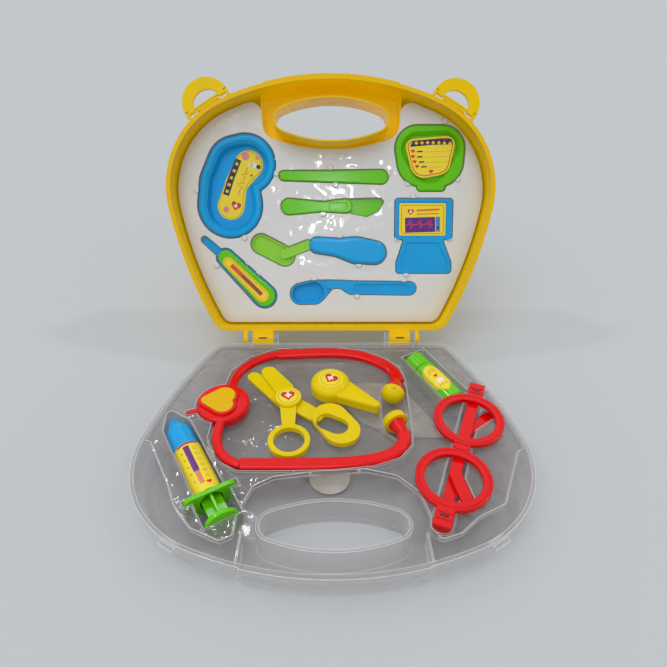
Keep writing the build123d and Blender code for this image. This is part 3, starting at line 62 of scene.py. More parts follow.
def surface(material):
    """A material's node tree and its surface shader."""
    return material.node_tree, material.node_tree.nodes["Principled BSDF"]


def placed(name, data):
    """A new object that shows some data, linked to the scene at the origin."""
    holder = bpy.data.objects.new(name, data)
    bpy.context.scene.collection.objects.link(holder)
    return holder


floor_grey = new_material("floor_grey")
tree, shader = surface(floor_grey)
shader.inputs["Base Color"].default_value = linear(194, 198, 201)
shader.inputs["Roughness"].default_value = 0.9
shader.inputs["Specular IOR Level"].default_value = 0.05
floor_side, floor_near, floor_far = 9, -4, 14  # metres: past the edges of the view
floor_mesh = bpy.data.meshes.new("floor")
floor_mesh.from_pydata([
    (-floor_side, floor_near, 0), (floor_side, floor_near, 0),
    (floor_side, floor_far, 0), (-floor_side, floor_far, 0)], [], [(0, 1, 2, 3)])
floor_mesh.materials.append(floor_grey)
floor = placed("floor", floor_mesh)

room = bpy.data.worlds.new("room")
room.use_nodes = True
bpy.context.scene.world = room
room_light = room.node_tree.nodes["Background"].inputs
room_light["Color"].default_value = (0.98, 0.99, 1.0, 1)
room_light["Strength"].default_value = 0.59


def far_lamp(name, towards, width, strength):
    """A lamp far off in a direction, given from the case to the lamp, and its width in degrees."""
    lamp = bpy.data.lights.new(name, "SUN")
    lamp.angle = math.radians(width)
    lamp.energy = strength
    placed(name, lamp).rotation_euler = Vector(towards).to_track_quat("Z", "Y").to_euler()


far_lamp("wide_lamp", (-0.25, -0.35, 1.0), width=50, strength=0.8)
far_lamp("front_lamp", (0.01, -0.79, 0.61), width=2.6, strength=0.06)
far_lamp("back_lamp", (-0.16, 0.54, 0.83), width=2.6, strength=0.06)
far_lamp("low_back_lamp", (0.1, 0.9, 0.4), width=70, strength=0.3)
far_lamp("left_lamp", (-0.62, 0.25, 0.75), width=4, strength=0.26)
far_lamp("right_lamp", (0.6, 0.25, 0.76), width=4, strength=0.26)

camera = bpy.data.cameras.new("camera")
camera.lens, camera.sensor_width = 31.04, 36.0
camera_spot = (-0.0053, -0.2592, 0.3175)
pitch, yaw, roll = 0.672, 0.019, 0.01  # radians: down, to the right and about the line of sight
ahead = Vector((
    math.sin(yaw) * math.cos(pitch), math.cos(yaw) * math.cos(pitch), -math.sin(pitch)))
level_right = Vector((math.cos(yaw), -math.sin(yaw), 0))
level_up = level_right.cross(ahead)
rightward = level_right * math.cos(roll) + level_up * math.sin(roll)
upward = level_up * math.cos(roll) - level_right * math.sin(roll)
stand = Matrix((rightward, upward, -ahead)).transposed().to_4x4()
stand.translation = camera_spot
viewer = placed("camera", camera)
viewer.matrix_world = stand
bpy.context.scene.camera = viewer
bpy.context.scene.view_settings.view_transform = "Standard"


# Clear base shell: injection moulded in one piece, open upwards, with the finger opening,
# the rear hinge arms and the two front catches. The plastic is clear with a faint haze that grows
# where its walls are seen edge on, and its edges get painted white highlights.
def grain(tree, scale, detail=2.0):
    """Cloudy noise over the object's own coordinates, as a value from 0 to 1."""
    place = tree.nodes.new("ShaderNodeTexCoord")
    noise = tree.nodes.new("ShaderNodeTexNoise")
    noise.inputs["Scale"].default_value = scale
    noise.inputs["Detail"].default_value = detail
    noise.inputs["Roughness"].default_value = 0.5
    tree.links.new(place.outputs["Object"], noise.inputs["Vector"])
    return noise.outputs["Fac"]


def spread(tree, value, low, high, start=0.3, end=0.7):
    """A value from start to end stretched to run from low to high."""
    ramp = tree.nodes.new("ShaderNodeMapRange")
    ramp.inputs["From Min"].default_value = start
    ramp.inputs["From Max"].default_value = end
    ramp.inputs["To Min"].default_value = low
    ramp.inputs["To Max"].default_value = high
    tree.links.new(value, ramp.inputs["Value"])
    return ramp.outputs["Result"]


def sums(tree, kind, first, second):
    """One step of arithmetic on a value: the second may be a plain number."""
    step = tree.nodes.new("ShaderNodeMath")
    step.operation = kind
    step.use_clamp = True
    tree.links.new(first, step.inputs[0])
    if isinstance(second, float):
        step.inputs[1].default_value = second
    else:
        tree.links.new(second, step.inputs[1])
    return step.outputs["Value"]


def ripple(tree, scale, height, strength, detail=2.0, under=None):
    """A bump of cloudy waves: height in metres between its troughs and crests."""
    bump = tree.nodes.new("ShaderNodeBump")
    bump.inputs["Strength"].default_value = strength
    bump.inputs["Distance"].default_value = height
    tree.links.new(grain(tree, scale, detail), bump.inputs["Height"])
    if under is not None:
        tree.links.new(under, bump.inputs["Normal"])
    return bump.outputs["Normal"]


def rounded_skin(tree, radius):
    """The surface's direction with every edge eased to a radius in metres."""
    ease = tree.nodes.new("ShaderNodeBevel")
    ease.samples = 6
    ease.inputs["Radius"].default_value = radius
    return ease.outputs["Normal"]


def painted_edge_highlight(tree, radius, gain):
    """A mask for painted highlights on edges, from 0 on flat places to the gain on edges: how far
    the eased direction leaves the true one, by the cosine between them, which is 0.995 or more on
    flat places and 0.7 on edges."""
    flat = tree.nodes.new("ShaderNodeNewGeometry")
    match = tree.nodes.new("ShaderNodeVectorMath")
    match.operation = "DOT_PRODUCT"
    tree.links.new(rounded_skin(tree, radius), match.inputs[0])
    tree.links.new(flat.outputs["Normal"], match.inputs[1])
    return spread(tree, match.outputs["Value"], gain, 0.0, start=0.7, end=0.995)


def layered(tree, share, under, over):
    """Two shaders mixed by a share from 0, all of the under one, to 1, all of the over one."""
    mix = tree.nodes.new("ShaderNodeMixShader")
    for shader_in, source in zip(mix.inputs, (share, under, over)):
        tree.links.new(source, shader_in)
    return mix.outputs["Shader"]


def see_through(tree, red, green, blue):
    """A surface that lets shares of the red, green and blue light through."""
    through = tree.nodes.new("ShaderNodeBsdfTransparent")
    through.inputs["Color"].default_value = (red, green, blue, 1)
    return through.outputs["BSDF"]


def clear_plastic(name, clearness, tint, haze, edge_haze, rim_radius, painted_rim_gain, waves, wave_scale):
    """Clear plastic: a mirror of 4.5% that grows to all of it at a glance (Schlick's rule, the
    fifth power of how far the surface turns away), see-through behind that, and a white haze
    that grows with the same turn, with a painted white highlight along every edge. Each face lets
    the clearness of the light through, a little less of it green and blue."""
    straight_mirror, mirror_growth, haze_growth = 0.045, 5.0, 2.2
    material = new_material(name)
    tree, shader = surface(material)
    shader.inputs["Base Color"].default_value = tint
    shader.inputs["Roughness"].default_value = 0.12
    skin = ripple(tree, wave_scale, waves, strength=0.6)
    tree.links.new(skin, shader.inputs["Normal"])
    turn = tree.nodes.new("ShaderNodeLayerWeight")
    turn.inputs["Blend"].default_value = 0.5
    tree.links.new(skin, turn.inputs["Normal"])
    facing = turn.outputs["Facing"]
    mirror = tree.nodes.new("ShaderNodeBsdfGlossy")
    mirror.inputs["Roughness"].default_value = 0.06
    tree.links.new(skin, mirror.inputs["Normal"])
    sharp_turn = sums(tree, "POWER", facing, mirror_growth)
    glance = spread(tree, sharp_turn, straight_mirror, 1.0, start=0.0, end=1.0)
    sheer = layered(
        tree, glance, see_through(tree, clearness, clearness * 0.987, clearness * 0.985),
        mirror.outputs["BSDF"])
    soft_turn = sums(tree, "POWER", facing, haze_growth)
    turn_haze = spread(tree, soft_turn, haze, edge_haze, start=0.0, end=1.0)
    # Painted highlight: the haze turns white along every edge, as strong as the rim gain.
    haze_and_painted_edges = sums(tree, "MAXIMUM", turn_haze, painted_edge_highlight(tree, rim_radius, painted_rim_gain))
    body = layered(tree, haze_and_painted_edges, sheer, shader.outputs["BSDF"])
    # Shadows: clear plastic focuses nearly all the light back on what lies under it.
    ray = tree.nodes.new("ShaderNodeLightPath")
    shade = see_through(tree, clearness * 0.965, clearness * 0.955, clearness * 0.95)
    lit = layered(tree, ray.outputs["Is Shadow Ray"], body, shade)
    tree.links.new(lit, tree.nodes["Material Output"].inputs["Surface"])
    return material


def crisp(mesh):
    """Smooth shading, but for edges that turn more than 28 degrees."""
    mesh.shade_smooth()
    mesh.set_sharp_from_angle(angle=math.radians(28))


def dress(material, *nodes):
    """Gives CAD nodes' objects one material."""
    for node in nodes:
        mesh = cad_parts[node].data
        mesh.materials.clear()
        mesh.materials.append(material)
        crisp(mesh)


bpy.context.scene.cycles.transparent_max_bounces = 48  # so that no clear wall turns black
dress(clear_plastic(
    "shell_clear", clearness=0.885, tint=linear(244, 244, 245), haze=0.07, edge_haze=0.62,
    rim_radius=0.0013, painted_rim_gain=0.95, waves=0.0014, wave_scale=30.0), "clear_base_shell")


# Paper in the base: a round seal under the front of the tray, and a leaflet that lies under its
# right half. Both are thin off-white paper, seen through the clear sheet.
def blend(tree, share, first, second):
    """A colour from the first to the second by a share: each is a colour or a node's output."""
    mix = tree.nodes.new("ShaderNodeMix")
    mix.data_type = "RGBA"
    tree.links.new(share, mix.inputs["Factor"])
    first_in, second_in, colour_out = mix.inputs[6], mix.inputs[7], mix.outputs[2]
    for colour_in, colour in ((first_in, first), (second_in, second)):
        if isinstance(colour, tuple):
            colour_in.default_value = colour
        else:
            tree.links.new(colour, colour_in)
    return colour_out


def stained(material, low, high, scale):
    """A base colour that drifts between two close colours in soft clouds."""
    tree, shader = surface(material)
    clouds = spread(tree, grain(tree, scale), 0.0, 1.0)
    tree.links.new(blend(tree, clouds, low, high), shader.inputs["Base Color"])


paper = new_material("paper")
stained(paper, linear(199, 195, 187), linear(214, 211, 205), scale=70.0)
tree, shader = surface(paper)
shader.inputs["Roughness"].default_value = 0.6
paper_tooth = ripple(tree, scale=900.0, height=0.00004, strength=0.4, detail=4.0)
tree.links.new(paper_tooth, shader.inputs["Normal"])
dress(paper, "round_seal", "paper_leaflet")


# Base tray: clear sheet, vacuum-formed over moulds of the toys, which leaves it wavy and
# crinkled round each pocket. It drops into the base shell and is not fixed.
dress(clear_plastic(
    "tray_clear", clearness=0.86, tint=linear(244, 243, 242), haze=0.02, edge_haze=0.5,
    rim_radius=0.0011, painted_rim_gain=1.0, waves=0.003, wave_scale=70.0), "base_tray")


# Yellow lid shell and ear latches: moulded polypropylene with a soft gloss. Deep in the lid the
# light that goes from wall to wall is painted: its recesses get a painted amber colour and a faint
# painted glow.
def polished(name, roughness=0.16, ease=0.0004, shine=0.36):
    """Moulded plastic without its colour: an uneven polish, faint waves and edges eased to a
    radius in metres. The shine is the strength of its mirror."""
    material = new_material(name)
    tree, shader = surface(material)
    polish = spread(tree, grain(tree, scale=130.0), roughness * 0.92, roughness * 1.1)
    tree.links.new(polish, shader.inputs["Roughness"])
    skin = ripple(
        tree, scale=60.0, height=0.00004, strength=0.25, under=rounded_skin(tree, ease))
    tree.links.new(skin, shader.inputs["Normal"])
    shader.inputs["IOR"].default_value = 1.49
    shader.inputs["Specular IOR Level"].default_value = shine
    return material


def cloudy(material, colour, depth, scale):
    """A colour that is cloudy: it drifts down to a share of itself, its depth."""
    base = linear(*colour)
    stained(material, tuple(c * depth for c in base[:3]) + (1,), base, scale)


def moulded(name, colour, depth=0.93, **finish):
    """Polished plastic of a slightly cloudy colour."""
    material = polished(name, **finish)
    cloudy(material, colour, depth, scale=40.0)
    return material


def painted_recess_light(material, open_colour, painted_recess_colour, reach, painted_glow):
    """Paints light and shade into a material by how shut in each place is: open_colour out in the
    open, the recess colour, a painted shade or bounce light, where walls stand round it within a
    reach in metres. There it also paints a glow, an emission that stands in for light let through
    the thin walls. Hands back the colour."""
    tree, shader = surface(material)
    # Painted shade and bounce light: ambient occlusion finds the recesses that get the recess
    # colour.
    shut = tree.nodes.new("ShaderNodeAmbientOcclusion")
    shut.samples = 8
    shut.inputs["Distance"].default_value = reach
    openness = shut.outputs["AO"]
    in_the_open = spread(tree, openness, 0.0, 1.0, start=0.45, end=0.95)
    colour = blend(tree, in_the_open, painted_recess_colour, open_colour)
    tree.links.new(colour, shader.inputs["Base Color"])
    # Painted glow: an emission in the recesses, standing in for light through the thin walls.
    shader.inputs["Emission Color"].default_value = painted_recess_colour
    painted_glow_strength = spread(tree, openness, painted_glow, 0.0, start=0.25, end=0.85)
    tree.links.new(painted_glow_strength, shader.inputs["Emission Strength"])
    return colour


lid_yellow = polished("lid_yellow", roughness=0.26, shine=0.16)
# Painted light in the lid: a brighter amber and a faint painted glow deep in its recesses.
painted_recess_light(lid_yellow, linear(238, 190, 0), linear(252, 215, 0), reach=0.03, painted_glow=0.065)
dress(lid_yellow, "yellow_lid_shell")
ear_yellow = moulded("ear_yellow", (244, 204, 0), roughness=0.24, shine=0.14)
dress(ear_yellow, "left_ear_latch", "right_ear_latch")


# Lid tray: white vacuum-formed sheet, pulled down round each toy. It is very glossy and a little
# wavy all over; its pockets get a painted warm shade and glow, and its folds painted white
# highlight lines.
tray_white = new_material("tray_white")
tree, shader = surface(tray_white)
# Painted shade in the tray: a warm grey and a faint painted glow deep in its pockets.
tray_colour = painted_recess_light(
    tray_white, linear(222, 224, 225), linear(200, 190, 172), reach=0.012, painted_glow=0.1)
# Painted highlight: the tray's folds and edges blend towards white.
painted_fold_highlight = painted_edge_highlight(tree, radius=0.0007, gain=0.9)
tray_colour = blend(tree, painted_fold_highlight, tray_colour, linear(250, 250, 248))
tree.links.new(tray_colour, shader.inputs["Base Color"])
shader.inputs["Roughness"].default_value = 0.08
shader.inputs["IOR"].default_value = 1.5
skin = ripple(tree, scale=50.0, height=0.0022, strength=0.5, under=rounded_skin(tree, 0.0008))
tree.links.new(skin, shader.inputs["Normal"])
dress(tray_white, "lid_tray")


# Kidney dish: one blue moulding with a rolled rim, and a sticker on its floor. Printed on the
# sticker are a dark band with small crosses, a pulse line, hearts and a capsule.
hinge_back, rim_height = 0.105, 0.023  # the hinge's line behind and above the origin, in metres
lid_hinge = np.array([0.0, hinge_back, rim_height])
lid_lean = math.radians(58.7)
lid_up = np.array([0.0, math.cos(lid_lean), math.sin(lid_lean)])
lid_out = np.array([0.0, -math.sin(lid_lean), math.cos(lid_lean)])


def in_lid(depth):
    """Places at a depth in mm in the open lid: hinge + x across + s up the lid + rise out of it.
    Every x, s and rise of a print is in mm."""
    def place(spots, rise):
        x, s = spots[:, 0:1] / 1000, spots[:, 1:2] / 1000
        return lid_hinge + x * np.array([1.0, 0, 0]) + s * lid_up + (rise - depth) / 1000 * lid_out
    return place


def circle(x, s, radius, count=40):
    """Points round a circle: radius cos t across from x, radius sin t up from s."""
    turn = np.linspace(0, 2 * np.pi, count, endpoint=False)
    return np.stack([x + radius * np.cos(turn), s + radius * np.sin(turn)], 1)


def spun(points, degrees):
    """Points turned anticlockwise about 0, 0: across becomes x cos - y sin, up x sin + y cos."""
    cos, sin = math.cos(math.radians(degrees)), math.sin(math.radians(degrees))
    return points @ np.array([(cos, sin), (-sin, cos)])


def heart(x, s, width, turned=0.0):
    """Points round a heart, its tip down: 16 sin cubed t across, which makes it 32 wide before
    it is scaled, and 13 cos t - 5 cos 2t - 2 cos 3t - cos 4t up."""
    t = np.linspace(0, 2 * np.pi, 48, endpoint=False)
    across = 16 * np.sin(t) ** 3
    up = 13 * np.cos(t) - 5 * np.cos(2 * t) - 2 * np.cos(3 * t) - np.cos(4 * t) + 2
    return spun(np.stack([across, up], 1) * width / 32, turned) + (x, s)


def plus(x, s, size, turned=0.0):
    """Points round a cross whose arms are a third of its size wide."""
    a, b = size / 2, size / 6
    corners = np.array([
        (b, b), (a, b), (a, -b), (b, -b), (b, -a), (-b, -a),
        (-b, -b), (-a, -b), (-a, b), (-b, b), (-b, a), (b, a)])
    return spun(corners, turned) + (x, s)


def run_of(points):
    """The directions of a line at its points, and those square to it on its left."""
    way = np.gradient(points, axis=0)
    way /= np.linalg.norm(way, axis=1)[:, None]
    return way, np.stack([-way[:, 1], way[:, 0]], 1)


def bean(discs, inset):
    """Points round a row of three discs (x, s, radius), drawn in by an inset: the middle line is
    the parabola through the centres, its sides stand off by the radius, and half circles close
    its ends."""
    centres, radii = np.array([d[:2] for d in discs]), np.array([d[2] for d in discs])
    t = np.linspace(0, 1, 30)[:, None]
    pull = 2 * centres[1] - (centres[0] + centres[2]) / 2
    line = (1 - t) ** 2 * centres[0] + 2 * t * (1 - t) * pull + t ** 2 * centres[2]
    way, side = run_of(line)
    reach = np.interp(t[:, 0], [0, 0.5, 1], radii)[:, None] - inset
    cap = np.linspace(0, np.pi, 14)[1:-1, None]
    end = line[-1] + reach[-1] * (np.cos(cap) * side[-1] + np.sin(cap) * way[-1])
    start = line[0] + reach[0] * (-np.cos(cap) * side[0] - np.sin(cap) * way[0])
    return np.concatenate([line + reach * side, end, (line - reach * side)[::-1], start])


def filled(outline):
    """A shape filled from its middle."""
    return outline, np.repeat(outline.mean(0)[None], len(outline), 0), True


def ring(outer, inner):
    """The band between two outlines."""
    return outer, inner, True


def stroke(points, width):
    """A line of a width along points: its two sides stand off square to its run."""
    points = np.array(points, float)
    side = run_of(points)[1] * width / 2
    return points + side, points - side, False


def bar(start, end, width, steps=2):
    """A straight bar between two points."""
    along = np.linspace(0, 1, steps)[:, None]
    return stroke(np.array(start) * (1 - along) + np.array(end) * along, width)


def closed_piece(name, colour, body, corners, faces):
    """A closed mesh of one colour that rides with a body. Corners that meet are merged, faces
    that shrink to nothing go, and the rest are turned outwards."""
    mesh = bpy.data.meshes.new(name)
    mesh.from_pydata(np.concatenate(corners).tolist(), [], np.concatenate(faces).tolist())
    solid = bmesh.new()
    solid.from_mesh(mesh)
    bmesh.ops.remove_doubles(solid, verts=solid.verts, dist=2e-6)
    bmesh.ops.dissolve_degenerate(solid, edges=solid.edges, dist=1e-7)
    bmesh.ops.recalc_face_normals(solid, faces=solid.faces)
    solid.to_mesh(mesh)
    solid.free()
    mesh.materials.append(colour)
    piece = placed(name, mesh)
    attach(piece, body)
    return piece


# A print's lower and upper level from the sticker's face, in mm: ink lies on the face, over
# other ink, or over both.
first_coat, over_coat, top_coat = (-0.03, 0.05), (0.04, 0.09), (0.05, 0.1)


def printed(name, colour, body, place, shapes, coat=first_coat):
    """A thin solid on a face, such as ink on a sticker: each shape is two rows of points joined
    by quads, once at the coat's lower level and once at its upper one, with walls round both."""
    corners, faces, first = [], [], 0
    for outer, inner, closed in shapes:
        count = len(outer)
        here = np.arange(count if closed else count - 1)
        there = (here + 1) % count
        corners += [place(row, level) for level in coat for row in (outer, inner)]
        low_outer, low_inner, high_outer, high_inner = (first + k * count for k in range(4))
        for one, two in (
                (low_outer, low_inner), (high_outer, high_inner),
                (low_outer, high_outer), (low_inner, high_inner)):
            faces.append(np.stack([one + here, one + there, two + there, two + here], 1))
        if not closed:
            around_end = np.array([low_outer, low_inner, high_inner, high_outer])
            faces.append(np.array([[0] * 4, [count - 1] * 4]) + around_end)
        first += 4 * count
    return closed_piece(name, colour, body, corners, faces)


def printer(toy, body, place):
    """What prints on one toy: each part of the print is a piece of its own, named after both."""
    def print_part(part, colour, shapes, coat=first_coat):
        printed(f"{toy}_print_{part}", colour, body, place, shapes, coat)
    return print_part


def ink(name, colour):
    """Printing ink under a thin clear varnish."""
    material = new_material(name)
    cloudy(material, colour, depth=0.9, scale=220.0)
    surface(material)[1].inputs["Roughness"].default_value = 0.3
    return material


toy_blue = moulded("toy_blue", (12, 166, 236))
label_yellow = moulded("label_yellow", (246, 222, 52), depth=0.97, roughness=0.3, ease=0.0001)
ink_navy = ink("ink_navy", (42, 22, 74))
ink_red = ink("ink_red", (214, 30, 30))
ink_orange = ink("ink_orange", (226, 116, 26))
ink_olive = ink("ink_olive", (150, 132, 20))
ink_pink = ink("ink_pink", (238, 140, 140))
ink_white = ink("ink_white", (240, 238, 232))
ink_black = ink("ink_black", (36, 30, 34))
dress(toy_blue, "kidney_dish")
dress(label_yellow, "kidney_label")
dish_print = printer("kidney", "dish", in_lid(depth=27.2))
dish_sticker = ((-68.0, 141.4, 11.7), (-78.7, 126.0, 9.1), (-83.5, 107.6, 11.1))
dish_print("edge", ink_orange, [ring(bean(dish_sticker, 0.9), bean(dish_sticker, 1.3))])
dish_print("band", ink_navy, [stroke([(-76.6, 145.6), (-82.5, 131.5), (-87.6, 116.8)], 5.2)])
dish_print("crosses", label_yellow, [filled(plus(x, s, 3.0, 22)) for x, s in (
    (-78.0, 142.0), (-80.3, 136.4), (-82.7, 130.8), (-84.7, 125.2), (-86.5, 119.8))], over_coat)
dish_print("pulse", ink_orange, [stroke([
    (-69.0, 139.0), (-71.0, 135.8), (-68.6, 134.2), (-74.6, 133.4), (-71.2, 131.0), (-73.6, 128.6),
    (-71.8, 127.0), (-78.0, 125.8), (-73.6, 122.8), (-76.0, 120.6), (-77.6, 116.4)], 0.7)])
dish_print("hearts", ink_red, [
    filled(heart(-79.6, 107.6, 8.2, -20)), filled(heart(-66.2, 132.6, 2.4, -20))])
dish_print("spots", ink_pink, [filled(circle(x, s, radius)) for x, s, radius in (
    (-70.8, 148.2, 3.2), (-87.6, 105.0, 2.6), (-61.2, 146.8, 1.6))])
capsule_pale, capsule_dark, capsule_width = (-66.5, 141.6), (-60.2, 139.6), 3.6
dish_print("capsule", ink_white, [
    bar(capsule_pale, capsule_dark, capsule_width),
    filled(circle(*capsule_pale, capsule_width / 2)),
    filled(plus(-79.6, 107.9, 3.4, -20))], over_coat)
dish_print("end", ink_navy, [filled(circle(*capsule_dark, capsule_width / 2))], top_coat)


# Hinge blocks: each block of the lid turns between the arms of the base, and has a short level
# slot in its front, which the mould leaves; the slot is drawn as a thin piece of painted dark
# shade. A narrow front closes the CAD block's upright slot.
block_radius, block_middle = 5.6, 55.15
front_reach, front_width, front_depth = 3.7, 1.56, 1.4
slot_low, slot_high, slot_width = 3.3, 4.6, 6.4


def round_hinge(spots, rise):
    """Places round the hinge: x across and v up the front of the block, both in mm; v over the
    radius is the angle above level."""
    turn = spots[:, 1] / block_radius
    radius = (block_radius + rise) / 1000
    back, up = hinge_back - radius * np.cos(turn), rim_height + radius * np.sin(turn)
    return np.stack([spots[:, 0] / 1000, back, up], 1)


def on_blocks(low, high, width, steps):
    """An upright bar on the front of both blocks."""
    return [bar((x, low), (x, high), width, steps) for x in (-block_middle, block_middle)]


printed(
    "hinge_fronts", lid_yellow, "lid", round_hinge,
    on_blocks(-front_reach, front_reach, front_width, steps=24),
    coat=(-front_depth, 0.0))
# Painted shade: a thin dark brown piece stands where each slot's shade is.
printed(
    "hinge_slot_shade", ink("hinge_slot_shade_ink", (96, 62, 6)), "lid", round_hinge,
    on_blocks(slot_low, slot_high, slot_width, steps=5), coat=(-0.1, 0.04))


# Ear latches' webs: the thin strip between each ear's hole and the rim, along which the ear
# folds. It is moulded with the ear.
ear_pivot, ear_line, ear_out = np.array([[96.43, 183.84], [0.848, -0.53], [0.53, 0.848]])
web_middle, web_half = ear_pivot - 0.65 * ear_out, 10.2
web_width, web_depth, web_half_thick = 2.6, 1.9, 1.1
for side, body in ((-1, "left_latch"), (1, "right_latch")):
    ends = [(web_middle + reach * ear_line) * (side, 1) for reach in (-web_half, web_half)]
    printed(
        body + "_web", ear_yellow, body, in_lid(web_depth), [bar(*ends, web_width)],
        coat=(-web_half_thick, web_half_thick))


# Tweezers and scalpel: each is one green moulding with no label. They lie loose in the lid
# tray, where small nubs of the sheet hold them in their pockets.
toy_green = moulded("toy_green", (104, 206, 6))
dress(toy_green, "tweezers", "scalpel")


# Mouth mirror: a head and neck moulded in a paler green, pushed into a blue handle that is
# hollow at the back. It lies loose in the lid tray.
dress(moulded("head_green", (148, 220, 62)), "mirror_head")
dress(moulded("handle_blue", (24, 168, 236), roughness=0.14), "mirror_handle")


# Spoon: one blue moulding, a shallow bowl on a flat handle. It lies loose in the lid tray, with
# nubs of the sheet round its pocket.
dress(toy_blue, "spoon")


# Thermometer: a blue body with its probe, a green cover, and a sticker with a scale of bars
# that turn from red to black inside a thin ring.
dress(toy_blue, "thermometer_body")
dress(toy_green, "thermometer_cover")
dress(label_yellow, "thermometer_label")
scale_print = printer("thermometer", "thermometer", in_lid(depth=18.2))
scale_sticker = ((-85.6, 61.2, 4.3), (-71.6, 47.4, 4.85), (-57.6, 33.6, 5.4))
scale_run = np.array([28.0, -27.6]) / 39.3
scale_side = np.array([scale_run[1], -scale_run[0]])
scale_start, scale_step = np.array([-82.6, 58.2]), 1.75
strip_line = scale_start - scale_side * 0.2


def scale_bars(first, last):
    """Bars across the sticker, one step apart, from one number to another."""
    spots = [scale_start + scale_run * scale_step * k for k in range(first, last)]
    return [bar(spot - scale_side * 1.9, spot + scale_side * 1.5, 1.05) for spot in spots]


scale_print("ring", ink_orange, [
    ring(bean(scale_sticker, outer), bean(scale_sticker, inner))
    for outer, inner in ((0.8, 1.05), (1.5, 1.7))])
scale_print("strip", ink("ink_rust", (232, 128, 60)), [
    bar(strip_line - scale_run * 0.6, strip_line + scale_run * 34.2, 3.4)])
bars_coat = (0.03, 0.09)
scale_print("red", ink_red, scale_bars(0, 7), bars_coat)
scale_print("black", ink_navy, scale_bars(7, 20), bars_coat)


# Name badge: one green moulding on a foot, hollow at the back. Its sticker has a dark band, four
# rows of a small heart and a dotted line to write on, and a red line round it.
def round_of(discs, inset):
    """Points round a belt about discs (x, s, radius), drawn in by an inset: in each direction
    from the middle, the belt's supporting line gives the point where it touches a disc."""
    turn = np.linspace(0, 2 * np.pi, 96, endpoint=False)
    way = np.stack([np.cos(turn), np.sin(turn)], 1)
    centres = np.array([d[:2] for d in discs])
    radii = np.array([d[2] for d in discs]) - inset
    nearest = np.argmax(way @ centres.T + radii, 1)
    return centres[nearest] + way * radii[nearest][:, None]


dress(toy_green, "name_badge")
badge_face = in_lid(depth=19.4)
badge_discs = ((67.5, 154.5, 6.4), (94.0, 156.4, 6.9), (87.0, 143.0, 11.0), (76.5, 142.0, 12.0))
badge_sticker = printed(
    "badge_sticker", label_yellow, "badge", badge_face, [filled(round_of(badge_discs, 0.0))],
    coat=(-2.9, 0.0))
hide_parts("badge_label")
badge_print = printer("badge", "badge", badge_face)
badge_print("ring", ink_red, [ring(round_of(badge_discs, 1.3), round_of(badge_discs, 2.0))])
band_top = np.array([(66.6, 159.2), (82.0, 160.6), (98.0, 161.2)])
band_foot = np.array([(64.2, 154.6), (82.0, 156.2), (99.4, 156.8)])
badge_print("band", ink_navy, [(band_top, band_foot, False)], (0.03, 0.08))
badge_print("crosses", label_yellow, [
    filled(plus(69.5 + 4.6 * k, 157.6 + 0.28 * k - 0.05 * k * k, 2.8, 4)) for k in range(7)],
    (0.07, 0.12))
rows = ((66.9, 151.0, 97.4), (66.9, 146.8, 98.0), (68.4, 142.7, 96.6), (70.4, 138.9, 91.4))
badge_print("hearts", ink_red, [
    filled(heart(x, s, 3.3)) for x, s, end in rows] + [filled(heart(82.0, 135.0, 3.6))])
dots = [
    filled(circle(dot, s + (dot - x) * 0.05 - 0.9, 0.22, 8))
    for x, s, end in rows for dot in np.arange(x + 9.6, end, 1.1)]
titles = [bar((x + 3.4, s - 0.2), (x + 7.8, s + 0.1), 1.1) for x, s, end in rows]
badge_print("lines", ink_black, dots + titles)


# Heart monitor: one blue moulding, hollow at the back, with a screen on a flared foot. Its sticker
# has a thin border, a heart and two bars, a violet screen with a pulse line, and a blue strip with
# one button.
def rounded_box(x, s, width, height, radius):
    """Points round a box with rounded corners: a quarter circle about each corner's own centre."""
    turn = np.linspace(0, np.pi / 2, 8)
    quarter = np.stack([np.cos(turn), np.sin(turn)], 1) * radius
    a, b = width / 2 - radius, height / 2 - radius
    centres = ((a, b), (-a, b), (-a, -b), (a, -b))
    return np.concatenate([
        spun(quarter, 90 * k) + (x + across, s + up) for k, (across, up) in enumerate(centres)])


dress(toy_blue, "monitor_body")
dress(label_yellow, "monitor_label")
screen_print = printer("monitor", "monitor", in_lid(depth=19.0))
screen_print("border", ink_orange, [
    ring(rounded_box(75.6, 96.4, 35.4, 23.6, 1.6), rounded_box(75.6, 96.4, 34.4, 22.6, 1.2))])
screen_height = 12.2
screen_print("screen", ink("ink_screen", (84, 30, 132)), [
    bar((61.2, 91.6), (86.2, 92.4), screen_height)])
screen_print("strip", ink("ink_blue", (70, 138, 206)), [
    bar((86.7, 92.4), (90.3, 92.5), screen_height)])
screen_print("button", ink_navy, [filled(circle(88.5, 89.6, 1.0))], over_coat)
beat = np.array([
    (0.0, 0.0), (1.6, 0.2), (2.4, 3.6), (3.4, -3.6), (4.4, 4.6), (5.2, -2.6), (6.0, 0.4)])
beats = np.concatenate([beat + (62.2 + 7.9 * k, 92.0 + 0.2 * k) for k in range(3)])
screen_print("pulse", ink("ink_rose", (238, 62, 96)), [stroke(beats, 0.75)], over_coat)
screen_print("heart", ink_red, [filled(heart(65.8, 102.3, 5.4))])
screen_print("cross", ink_white, [filled(plus(65.8, 102.6, 2.6, 8))], over_coat)
screen_print("bars", ink_orange, [
    bar((70.6, 103.6), (89.6, 104.6), 1.5), bar((70.6, 100.6), (89.2, 101.4), 0.8)])


# Stethoscope: red plastic tubes joined to the chest piece, with yellow ear cups pushed on, the
# upper one with a small raised ring. The heart on the chest piece is a separate amber moulding
# inside a red collar.
def above_rim(height):
    """A height in metres from the floor, as mm from the base's rim."""
    return (height - rim_height) * 1000


def over_base(height):
    """Places at a height in mm from the rim over the base: x across, s towards the front."""
    def place(spots, rise):
        x, s = spots[:, 0:1] / 1000, spots[:, 1:2] / 1000
        level = np.full_like(x, rim_height + (height + rise) / 1000)
        return np.concatenate([x, hinge_back - s, level], 1)
    return place


